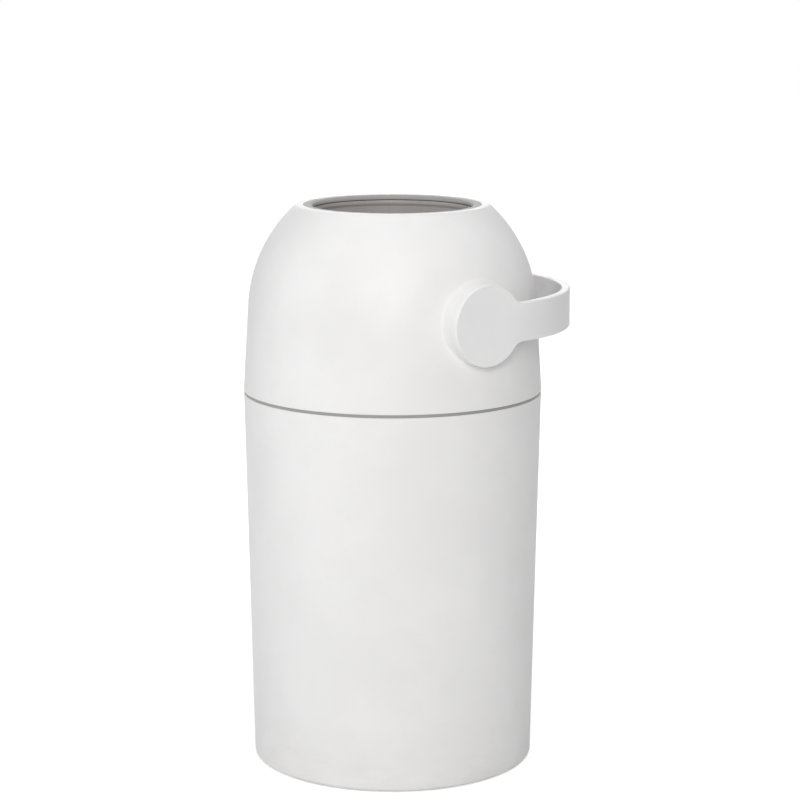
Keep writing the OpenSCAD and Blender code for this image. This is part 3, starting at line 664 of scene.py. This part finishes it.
def hood_surface(sizes, hubs, segments):
    """The hood: its profile carried round Z, with a rectangle left open at each pad, inside and out.
    A patch joins each pair of rectangles: rings that turn from the rectangle's outline into a circle,
    climb the pad by a fillet, cross its face, go down the bush's hole and come back inside."""
    shape = HoodShape(sizes)
    wall, top, low = sizes.wall, shape.top, shape.low
    reach, steps = PAD_REACH, 32
    crown = (sizes.mouth_r + sizes.rim_w, top - sizes.crown_r)
    dome_a = math.atan2(crown[1] - shape.middle, crown[0])
    crown_low = shape.middle + shape.dome_r * math.sin(dome_a)
    mouth_edge, foot_edge = 0.5 * MM, 0.6 * MM
    pads = np.linspace(reach, -reach, steps + 1)

    def along(z, inset):
        """The skirt's and the dome's profile at heights z."""
        return np.stack([shape.radius(z, inset), z], axis=1)

    mouth = [(sizes.mouth_r, top - wall), (sizes.mouth_r, top), (crown[0], top)]
    mouth = rounded(mouth, [0, mouth_edge, 0], 4)[:-1]
    rim = arc(*crown, sizes.crown_r, math.pi / 2, dome_a, 10)
    dome = shape.dome_arc(0, crown_low, reach, 18)[1:-1]
    skirt = np.linspace(-reach, low + foot_edge, 10)[1:-1]
    edge = rounded([along([low + 3 * foot_edge], 0)[0], along([low], 0)[0], along([low], wall)[0],
                    along([low + 3 * foot_edge], wall)[0]], [0, foot_edge, foot_edge, 0], 4)
    inner_dome = shape.dome_arc(wall, reach, top - wall, 18)[1:]
    parts = [mouth, rim, dome, along(pads, 0), along(skirt, 0), edge, along(skirt[::-1], wall),
             along(pads[::-1], wall), inner_dome]
    path = np.concatenate(parts + [parts[0][:1]])
    points, faces = revolved(path, segments)
    cols = len(path)
    # The rows along the pads are the fourth part outside and the eighth inside
    starts = np.cumsum([0] + [len(p) for p in parts])
    outer_from, inner_from = starts[3], starts[7]
    across = segments // 16
    i, j = faces[:, 0] // cols, faces[:, 0] % cols
    in_outer = (j >= outer_from) & (j < outer_from + steps)
    in_inner = (j >= inner_from) & (j < inner_from + steps)
    quarter = segments // 4
    near = np.abs((i + 0.5) % (2 * quarter) - quarter) < across
    surfaces = [(points, faces[~((in_outer | in_inner) & near)])]
    angles = math.pi / 2 + np.arange(-across, across + 1) * 2 * math.pi / segments
    for side in (1, -1):
        surfaces.append(pad_patch(shape, hubs, pads, angles, side))
    return joined(*surfaces, *housing_pillars(shape))


def pad_patch(shape, hubs, heights, angles, side):
    """One pad as rings of points: (x, z) runs from the rectangle's outline to circles about the turning
    axis, and y is the pad's face, its walls or the hood's own surface."""
    sizes = shape.sizes
    pad_r, pad_y = hubs.hub_r - sizes.pad_inset, PAD_Y
    rows = [np.full(len(angles) - 1, heights[0]), heights[:-1], np.full(len(angles) - 1, heights[-1]),
            heights[:0:-1]]
    turns = [angles[:-1], np.full(len(heights) - 1, angles[-1]), angles[:0:-1],
             np.full(len(heights) - 1, angles[0])]
    z_rect, turn = np.concatenate(rows), np.concatenate(turns)
    rings = []

    def outline(inset):
        """x of the rectangle's points, and the angle of each about the turning axis."""
        x = shape.radius(z_rect, inset) * np.cos(turn)
        return x, np.arctan2(z_rect, x)

    def on_hood(x, z, inset):
        """Adds a ring that lies on the hood."""
        rings.append(np.stack([x, shape.depth(x, z, inset), z], axis=1))

    def circle(radius, y, phi):
        """Adds a circle about the turning axis at distance y."""
        x, z = radius * np.cos(phi), radius * np.sin(phi)
        rings.append(np.stack([x, np.broadcast_to(y, x.shape), z], axis=1))

    def hood_y(radius, phi, inset=0.0):
        """How far out the hood lies along that circle."""
        return shape.depth(radius * np.cos(phi), radius * np.sin(phi), inset)

    x_rect, phi = outline(0)
    foot_r = pad_r + sizes.pad_draft
    margin = 1.5 * MM
    start_r = foot_r + sizes.pad_fillet + margin
    for t in np.linspace(0, 1, 9):
        ease = 1 - (1 - t) ** 1.6
        on_hood(x_rect * (1 - ease) + start_r * np.cos(phi) * ease,
                z_rect * (1 - ease) + start_r * np.sin(phi) * ease, 0)
    foot_y = hood_y(foot_r, phi)
    face_y = np.maximum(pad_y, foot_y)
    rise = face_y - foot_y
    fillet = np.minimum(sizes.pad_fillet, rise / 2)
    edge = np.minimum(sizes.pad_edge, rise / 2)
    out_y = hood_y(foot_r + fillet, phi)
    drawn_in = sizes.pad_draft * fillet / np.maximum(rise, fillet + HAIR)
    for t in np.linspace(0, 1, 7):
        a, b, c = (1 - t) ** 2, 2 * t * (1 - t), t * t
        circle(foot_r + a * fillet - c * drawn_in, a * out_y + b * foot_y + c * (foot_y + fillet), phi)
    for t in np.linspace(0, 1, 5):
        a, b, c = (1 - t) ** 2, 2 * t * (1 - t), t * t
        circle(pad_r - c * edge, a * (face_y - edge) + (b + c) * face_y, phi)
    groove_from, groove_w, groove_lean = math.radians(-6), hubs.stop_pin_r + PLAY, 0.05 * MM
    groove_y = pad_y - hubs.stop_depth * (np.sin(phi) > math.sin(groove_from))
    groove_out, groove_in = hubs.stop_at_r + groove_w, hubs.stop_at_r - groove_w
    for radius, deep in ((pad_r - 2 * MM, False), (groove_out, False), (groove_out - groove_lean, True),
                         (groove_in + groove_lean, True), (groove_in, False)):
        circle(radius, groove_y if deep else np.maximum(pad_y, hood_y(radius, phi)), phi)
    seat_y, recess_y = pad_y - sizes.boss_t, pad_y - sizes.recess
    recess_r = pad_r - sizes.wall
    circle(sizes.bush_hole_r, pad_y, phi)
    circle(sizes.bush_hole_r, seat_y, phi)
    x_in, phi_in = outline(sizes.wall)
    circle(sizes.boss_r, seat_y, phi_in)
    for radius in (sizes.boss_r, sizes.boss_r + 5 * MM, sizes.boss_r + 11 * MM, recess_r - 4 * HAIR):
        circle(radius, np.maximum(recess_y, hood_y(radius, phi_in, sizes.wall)), phi_in)
    for t in np.linspace(0, 1, 6):
        on_hood(recess_r * np.cos(phi_in) * (1 - t) + x_in * t,
                recess_r * np.sin(phi_in) * (1 - t) + z_rect * t, sizes.wall)
    points = np.stack(rings)
    points[..., 1] *= side
    return points.reshape(-1, 3), grid_faces(len(rings), len(z_rect), wrap_cols=True)


def housing_pillars(shape):
    """Six pillars for the housing's screws: closed rods, each with a web into the hood's wall."""
    sizes = shape.sizes
    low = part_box("drum_housing")[1].z - PIVOT_Z
    screw_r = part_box("housing_screws")[1].x - sizes.screw_head_r
    high, half = low + sizes.pillar_h, sizes.web_t / 2
    out = float(shape.radius(high, sizes.wall / 2))
    web = closed_loop([(low, -half), (high, -half), (high, half), (low, half)], [0.2 * MM] * 4, steps=2)[:-1]
    centre = np.broadcast_to([(low + high) / 2, 0], web.shape)
    parts, count = [], 6
    for k in range(count):
        a = k * 2 * math.pi / count
        turn = np.array([[math.cos(a), math.sin(a), 0], [-math.sin(a), math.cos(a), 0], [0, 0, 1]])
        points, faces = rod(sizes.pillar_r, low, high)
        parts.append(((points + [screw_r, 0, 0]) @ turn, faces))
        rings = [np.column_stack([np.full(len(web), x), loop[:, 1], loop[:, 0]])
                 for x, loop in ((screw_r, centre), (screw_r, web), (out, web), (out, centre))]
        parts.append((np.concatenate(rings) @ turn, grid_faces(4, len(web), wrap_cols=True)))
    return parts


def lip_surface(sizes, segments):
    """The mouth ring: a flat lip with a rounded inner edge, a collar, and a flange under the dome that
    follows the drum's sphere down to its seal on the inside and the dome on the outside."""
    shape = HoodShape(sizes)
    outer = sizes.mouth_r - FIT
    inner = sizes.mouth_r - sizes.lip_w - sizes.lip_over
    lip_top, lip_low = shape.top - FIT, shape.top - sizes.lip_h
    gap = sizes.wall + FIT
    collar_x = outer - sizes.lip_wall
    plate_high = shape.top - gap
    plate_low = plate_high - sizes.lip_wall
    ball_r = shape.dome_r - sizes.dome_drop - gap - sizes.lip_wall
    start_a = math.asin(plate_low / ball_r)
    end_a = start_a - sizes.lip_skirt / ball_r
    down = arc(0, 0, ball_r, start_a, end_a, 10)
    along = shape.middle * math.sin(end_a)
    end_r = along + math.sqrt(along ** 2 + (shape.dome_r - gap) ** 2 - shape.middle ** 2)
    up = shape.dome_arc(gap, end_r * math.sin(end_a), plate_high, 10)
    corners = [(outer, plate_high), (outer, lip_top), (inner, lip_top), (inner, lip_low), (collar_x, lip_low),
               (collar_x, plate_low), down[0]]
    radii = [0, 0.3 * MM, sizes.lip_round, 0.05 * MM, 0.5 * MM, 0.5 * MM, 0]
    return revolved(np.concatenate([rounded(corners, radii, 10), down[1:], up, [corners[0]]]), segments)


def tube_surface(sizes, segments):
    """The bore tube: a straight tube with a stop lip at each end, whose ends lie on the drum's sphere and
    whose inner side tapers into the bore. Its profile starts and ends halfway up its outside."""
    bore = sizes.mouth_r - sizes.lip_w
    inner, outer = bore - sizes.tube_lip_w, TUBE_HIGH.x
    drum_r = math.hypot(inner, (TUBE_HIGH.z - TUBE_LOW.z) / 2)
    stop_z = math.sqrt(drum_r ** 2 - outer ** 2) - sizes.tube_lip_h
    end = arc(0, 0, drum_r, math.acos(outer / drum_r), math.acos(inner / drum_r), 5)
    corners = [(outer, 0), *end, (inner, stop_z + sizes.tube_lip_h), (bore, stop_z), (bore, 0)]
    radii = [0, 0.3 * MM, 0, 0, 0, 0, 0.05 * MM, 2 * MM, 2 * MM, 0]
    upper = split_long(rounded(corners, radii, 5), 10 * MM)
    return revolved(np.concatenate([upper, upper[-2::-1] * [1, -1]]), segments)


def piston_surface(sizes, segments):
    """The piston: a plain plug with rounded ends, two grooves for the wiper rings and a shallow dish on
    each face, from the middle of its underside to the middle of its top."""
    outer, low, high = PISTON_HIGH.x, PISTON_LOW.z - PIVOT_Z, PISTON_HIGH.z - PIVOT_Z
    groove, inset, height = sizes.groove, sizes.inset, sizes.groove_h
    dish_r, dish = outer - sizes.dish_in, sizes.dish
    corners = [(0, low + dish), (dish_r - dish, low + dish), (dish_r, low), (outer, low),
               (outer, low + inset), (outer - groove, low + inset), (outer - groove, low + inset + height),
               (outer, low + inset + height), (outer, high - inset - height),
               (outer - groove, high - inset - height), (outer - groove, high - inset), (outer, high - inset),
               (outer, high), (dish_r, high), (dish_r - dish, high - dish), (0, high - dish)]
    end = [0, sizes.dish_edge, sizes.dish_edge, sizes.edge_r]
    radii = end + [0.1 * MM] * 8 + end[::-1]
    return revolved(split_long(rounded(corners, radii, 4), LONG_SIDE), segments)


def handle_surface(sizes):
    """The handle: a quarter of it, mirrored across the strap's middle and the bin's middle.
    Seen along Y, its outline runs along the strap's edge, round the neck's fillet and round the hub.
    Each outline point is joined to a point on the middle line by a row that goes over the outer skin,
    round the edge and back over the inner skin, with a step down to the hub's inner face.
    q is the distance along the handle: x as far as the neck, then the length of the bend."""
    outer_r, arm = HANDLE_HIGH.y, sizes.arm_l
    inner_r, half = outer_r - sizes.strap_t, sizes.strap_h / 2
    hub_r, neck_r, e = sizes.hub_r, sizes.neck_r, sizes.edge_r
    hub_y, hub_edge = PAD_Y + sizes.hub_gap, sizes.hub_edge
    neck_z = half + neck_r
    neck_x = math.sqrt((hub_r + neck_r) ** 2 - neck_z ** 2)
    start_a = math.asin((neck_x - arm) / outer_r)
    extra_a = math.asin((neck_x - arm) / inner_r) - start_a
    q_far = neck_x + outer_r * (math.pi / 2 - start_a)
    fade_l, pin_root = 60 * MM, 2 * MM

    def skins(q):
        """(x, y) of the outer and the inner skin at distance q."""
        past = np.maximum(q - arm, 0)
        near_out = np.stack([q, np.sqrt(np.maximum(outer_r ** 2 - past ** 2, 0))], axis=1)
        near_in = np.stack([q, np.sqrt(np.maximum(inner_r ** 2 - past ** 2, 0))], axis=1)
        a = start_a + (q - neck_x) / outer_r
        fade = np.clip(1 - (q - neck_x) / fade_l, 0, 1)
        b = a + extra_a * fade * fade * (3 - 2 * fade)
        far_out = np.stack([arm + outer_r * np.sin(a), outer_r * np.cos(a)], axis=1)
        far_in = np.stack([arm + inner_r * np.sin(b), inner_r * np.cos(b)], axis=1)
        near = (q <= neck_x)[:, None]
        return np.where(near, near_out, far_out), np.where(near, near_in, far_in)

    def inside(q, z, depth=None):
        """Points at a depth below the outer skin, or on the inner skin."""
        out, into = skins(q)
        thick = np.linalg.norm(into - out, axis=1)
        share = 1.0 if depth is None else (depth / thick)[:, None]
        return np.column_stack([out + (into - out) * share, z])

    strap_q = np.linspace(q_far, neck_x, 55)[:-1]
    one = np.ones_like(strap_q)
    turn = np.linspace(0, 1, 12)
    beta = turn * math.acos(neck_z / (hub_r + neck_r))
    gamma = turn * math.asin(neck_z / (hub_r + neck_r))
    phi = np.linspace(gamma[-1], math.pi, 49)[1:]
    edge_q = np.concatenate([strap_q, neck_x - neck_r * np.sin(beta), hub_r * np.cos(phi)])
    edge_z = np.concatenate([half * one, neck_z - neck_r * np.cos(beta), hub_r * np.sin(phi)])
    in_q = np.concatenate([0 * one, -np.sin(beta), -np.cos(phi)])
    in_z = np.concatenate([-one, -np.cos(beta), -np.sin(phi)])
    step_q = np.concatenate([strap_q, hub_r * np.cos(gamma), hub_r * np.cos(phi)])
    step_z = np.concatenate([0 * one, hub_r * np.sin(gamma), hub_r * np.sin(phi)])
    mid_q = np.concatenate([strap_q, hub_r * (1 - turn), 0 * phi])
    e_in = np.concatenate([e * one, e * (1 - turn), 0 * phi])
    on_strap = np.concatenate([one, 0 * turn, 0 * phi]) > 0
    thick = np.linalg.norm(np.subtract(*skins(edge_q)), axis=1)
    columns = []
    for u in np.linspace(0, 1, 13):
        t = 1 - (1 - u) ** 2
        columns.append(inside(mid_q + (edge_q + in_q * e - mid_q) * t, (edge_z + in_z * e) * t, 0 * thick))
    for psi in np.linspace(0, math.pi / 2, 7)[1:]:
        d, h = e * (1 - math.sin(psi)), e * (1 - math.cos(psi))
        columns.append(inside(edge_q + in_q * d, edge_z + in_z * d, 0 * thick + h))
    for t in np.linspace(0, 1, 4)[1:]:
        columns.append(inside(edge_q, edge_z, e + (thick - e_in - e) * t))
    for psi in np.linspace(0, math.pi / 2, 6)[1:]:
        d, h = e_in * (1 - math.cos(psi)), thick - e_in * (1 - math.sin(psi))
        columns.append(inside(edge_q + in_q * d, edge_z + in_z * d, h))
    for u in np.linspace(0, 1, 9)[1:]:
        t = u * u
        q, z = edge_q + in_q * e_in, edge_z + in_z * e_in
        columns.append(inside(q + (step_q - q) * t, z + (step_z - z) * t))
    skin_end = len(columns) - 1
    away = np.hypot(step_q, step_z)
    for psi in np.linspace(0, math.pi / 2, 5):
        pull = 1 - hub_edge * (1 - math.cos(psi)) / away
        y = hub_y + hub_edge * (1 - math.sin(psi))
        column = np.column_stack([step_q * pull, 0 * step_q + y, step_z * pull])
        columns.append(np.where(on_strap[:, None], columns[skin_end], column))
    for t in np.linspace(0, 1, 7)[1:]:
        pull = (1 - hub_edge / away) * (1 - t)
        column = np.column_stack([step_q * pull + mid_q * t, 0 * step_q + hub_y, step_z * pull])
        columns.append(np.where(on_strap[:, None], columns[skin_end], column))
    grid = np.stack(columns, axis=1)
    faces = grid_faces(*grid.shape[:2])
    row, column = faces[:, 0] // grid.shape[1], faces[:, 0] % grid.shape[1]
    faces = faces[~((row < len(strap_q)) & (column >= skin_end))]
    quarter = grid.reshape(-1, 3)
    copies = [(quarter * [1, y, z], faces) for y in (1, -1) for z in (1, -1)]
    pin_low = PAD_Y - sizes.stop_depth + PLAY
    points, pin_faces = rod(sizes.stop_pin_r, pin_low, hub_y + pin_root)
    for side in (1, -1):
        pin = np.stack([points[:, 0] + sizes.stop_at_r, points[:, 2] * side, points[:, 1]], axis=1)
        copies.append((pin, pin_faces))
    return joined(*copies)


def lifted(surface, height):
    """The surface raised by a height."""
    points, faces = surface
    return points + [0, 0, height], faces


# Stage

def make_floor(sizes):
    """A round pale floor that shows the object's soft shadow. Its own light, seen by the camera and in
    gloss, grows from near to far until the floor is white; from below the floor is clear."""
    paint = Paint("floor_white")
    away = paint.node("ShaderNodeVectorMath", {"operation": "LENGTH"}, {0: paint.at}, "Value")
    glow = (away.between(sizes.glow_from, sizes.glow_to) * sizes.glow_more + sizes.glow) * paint.seen()
    glow = paint.mix(glow, (0.0, 0.0, 0.0, 1.0), (1.0, 1.0, 1.0, 1.0))
    paint.dress(Base_Color=(sizes.floor_grey,) * 3 + (1.0,), Roughness=0.9, Emission_Color=glow,
                Emission_Strength=1.0)
    back = paint.node("ShaderNodeNewGeometry", output="Backfacing")
    clear = paint.node("ShaderNodeBsdfTransparent")
    paint.output(paint.node("ShaderNodeMixShader", {}, {0: back, 1: paint.shader, 2: clear}))
    points, faces = revolved(np.array([(0.0, 0.0), (2.0, 0.0), (sizes.floor_r, 0.0)]), 64)
    mesh = bpy.data.meshes.new("floor")
    mesh.from_pydata(points.tolist(), [], faces.tolist())
    mesh.materials.append(paint.material)
    work = bmesh.new()
    work.from_mesh(mesh)
    bmesh.ops.remove_doubles(work, verts=work.verts, dist=HAIR)
    work.to_mesh(mesh)
    work.free()
    floor = bpy.data.objects.new("floor", mesh)
    bpy.context.scene.collection.objects.link(floor)


def make_world():
    """White where the camera or a gloss looks, and a plain soft light for the object."""
    world = bpy.data.worlds.new("studio")
    bpy.context.scene.world = world
    world.use_nodes = True
    nodes = Nodes(world.node_tree)
    strength = nodes.seen() * (1 - WORLD_LIGHT) + WORLD_LIGHT
    sky = nodes.node("ShaderNodeBackground", {}, {"Color": (1.0, 1.0, 1.0, 1.0), "Strength": strength})
    nodes.node("ShaderNodeOutputWorld", {}, {"Surface": sky})


def make_lamps():
    """Large soft lamps, each turned from its place towards its aim."""
    for name, place, aim, width, power, colour in LAMPS:
        light = bpy.data.lights.new(name, "AREA")
        light.shape, light.size, light.energy, light.color = "DISK", width, power, colour
        lamp = bpy.data.objects.new(name, light)
        lamp.location = place
        lamp.rotation_euler = (Vector(aim) - Vector(place)).to_track_quat("-Z", "Y").to_euler()
        bpy.context.scene.collection.objects.link(lamp)


def make_camera(sizes):
    """The photograph's view: a place round the bin, a pitch down and a small sideways shift."""
    camera = bpy.data.cameras.new("camera")
    camera.sensor_width, camera.lens = SENSOR, sizes.lens
    camera.shift_x = (PICTURE / 2 - sizes.axis_px) / PICTURE
    camera.clip_end = 60.0
    eye = bpy.data.objects.new("camera", camera)
    a = sizes.azimuth
    eye.location = (sizes.distance * math.sin(a), -sizes.distance * math.cos(a), sizes.height)
    eye.rotation_euler = (math.pi / 2 - sizes.pitch, 0.0, a)
    bpy.context.scene.collection.objects.link(eye)
    bpy.context.scene.camera = eye


class BuildOperator:
    """What the operators share."""
    bl_options = {"REGISTER", "UNDO"}


class BIN_OT_pail(BuildOperator, bpy.types.Operator):
    """Makes the pail, its foot ring and the bag ring"""
    bl_idname = "nappy_bin.pail"
    bl_label = "Pail, Foot Ring and Bag Ring"

    def execute(self, context):
        sizes, segments = context.scene.bin_pail, context.scene.bin_stage.segments
        put_in("pail_shell", pail_surface(sizes, segments), "pail", "white_plastic", ["pail"])
        put_in("foot_rubber", foot_surface(sizes, segments), "pail", "foot_rubber", ["foot_ring"])
        put_in("band", ring_surface(sizes, segments), "bag_ring", "band_plastic", ["bag_ring"])
        return {"FINISHED"}


class BIN_OT_hood(BuildOperator, bpy.types.Operator):
    """Makes the hood with its two pads, and the mouth ring"""
    bl_idname = "nappy_bin.hood"
    bl_label = "Hood and Mouth Ring"

    def execute(self, context):
        scene = context.scene
        segments = scene.bin_stage.segments
        shell = lifted(hood_surface(scene.bin_hood, scene.bin_handle, segments), PIVOT_Z)
        put_in("hood_shell", shell, "hood", "white_plastic", ["hood"])
        lip = lifted(lip_surface(scene.bin_hood, segments), PIVOT_Z)
        put_in("mouth_lip", lip, "hood", "lip_plastic", ["mouth_ring"])
        return {"FINISHED"}


class BIN_OT_bore(BuildOperator, bpy.types.Operator):
    """Makes the drum's bore tube and the piston in it"""
    bl_idname = "nappy_bin.bore"
    bl_label = "Bore Tube and Piston"

    def execute(self, context):
        scene = context.scene
        segments = scene.bin_stage.segments
        tube = lifted(tube_surface(scene.bin_hood, segments), PIVOT_Z)
        put_in("bore_tube", tube, "drum", "bore_plastic", ["drum_tube"])
        piston = lifted(piston_surface(scene.bin_piston, segments), PIVOT_Z)
        put_in("piston_plunger", piston, "piston", "lip_plastic", ["piston_body", "piston_cap"])
        return {"FINISHED"}


class BIN_OT_handle(BuildOperator, bpy.types.Operator):
    """Makes the bent handle with its two hubs"""
    bl_idname = "nappy_bin.handle"
    bl_label = "Handle"

    def execute(self, context):
        strap = lifted(handle_surface(context.scene.bin_handle), PIVOT_Z)
        put_in("handle_strap", strap, "drum", "handle_plastic", ["handle"])
        return {"FINISHED"}


class BIN_OT_inner_works(BuildOperator, bpy.types.Operator):
    """Finishes the pieces inside that keep the frame's own shape: drum, housing, seals, axles and screws"""
    bl_idname = "nappy_bin.inner_works"
    bl_label = "Inner Works"

    def execute(self, context):
        slots = {part["node"]: part["material_slot"] for part in frame["record"]["subparts"]}
        for name, node in frame["nodes"].items():
            if node.hide_render:
                continue
            node.data.materials.clear()
            node.data.materials.append(finish_for(slots[name]))
            node.data.shade_smooth()
            weld = node.modifiers.new("weld", "WELD")
            weld.merge_threshold = 2 * HAIR
            split = node.modifiers.new("edges", "EDGE_SPLIT")
            split.split_angle = FRAME_SHARP
        return {"FINISHED"}


class BIN_OT_stage(BuildOperator, bpy.types.Operator):
    """Makes the floor, the light and the camera"""
    bl_idname = "nappy_bin.stage"
    bl_label = "Floor, Light and Camera"

    def execute(self, context):
        make_floor(context.scene.bin_stage)
        make_world()
        make_lamps()
        make_camera(context.scene.bin_stage)
        context.scene.view_settings.view_transform = "Standard"
        return {"FINISHED"}


class BIN_PT_panel(bpy.types.Panel):
    """Lists what the bin is made of"""
    bl_idname = "BIN_PT_panel"
    bl_label = "Nappy Bin"
    bl_space_type = "VIEW_3D"
    bl_region_type = "UI"
    bl_category = "Nappy Bin"

    def draw(self, context):
        for group in GROUPS:
            box = self.layout.box()
            sizes = getattr(context.scene, group)
            for key in sizes.bl_rna.properties.keys():
                if key not in ("rna_type", "name"):
                    box.prop(sizes, key)
        for operator in OPERATORS:
            self.layout.operator(operator.bl_idname)


GROUPS = {"bin_pail": PailSizes, "bin_hood": HoodSizes, "bin_handle": HandleSizes,
          "bin_piston": PistonSizes, "bin_finishes": Finishes, "bin_stage": StageSizes}
OPERATORS = (BIN_OT_pail, BIN_OT_hood, BIN_OT_bore, BIN_OT_handle, BIN_OT_inner_works, BIN_OT_stage)


def register():
    """Adds the classes, and the groups of sizes to each scene."""
    for cls in (*GROUPS.values(), *OPERATORS, BIN_PT_panel):
        bpy.utils.register_class(cls)
    for name, cls in GROUPS.items():
        setattr(bpy.types.Scene, name, PointerProperty(type=cls))


def unregister():
    """Takes away all that register adds."""
    for name in GROUPS:
        delattr(bpy.types.Scene, name)
    for cls in (BIN_PT_panel, *reversed(OPERATORS), *reversed(GROUPS.values())):
        bpy.utils.unregister_class(cls)


def main():
    register()
    bpy.ops.nappy_bin.pail()
    bpy.ops.nappy_bin.hood()
    bpy.ops.nappy_bin.bore()
    bpy.ops.nappy_bin.handle()
    bpy.ops.nappy_bin.inner_works()
    bpy.ops.nappy_bin.stage()


if __name__ == "__main__":
    main()
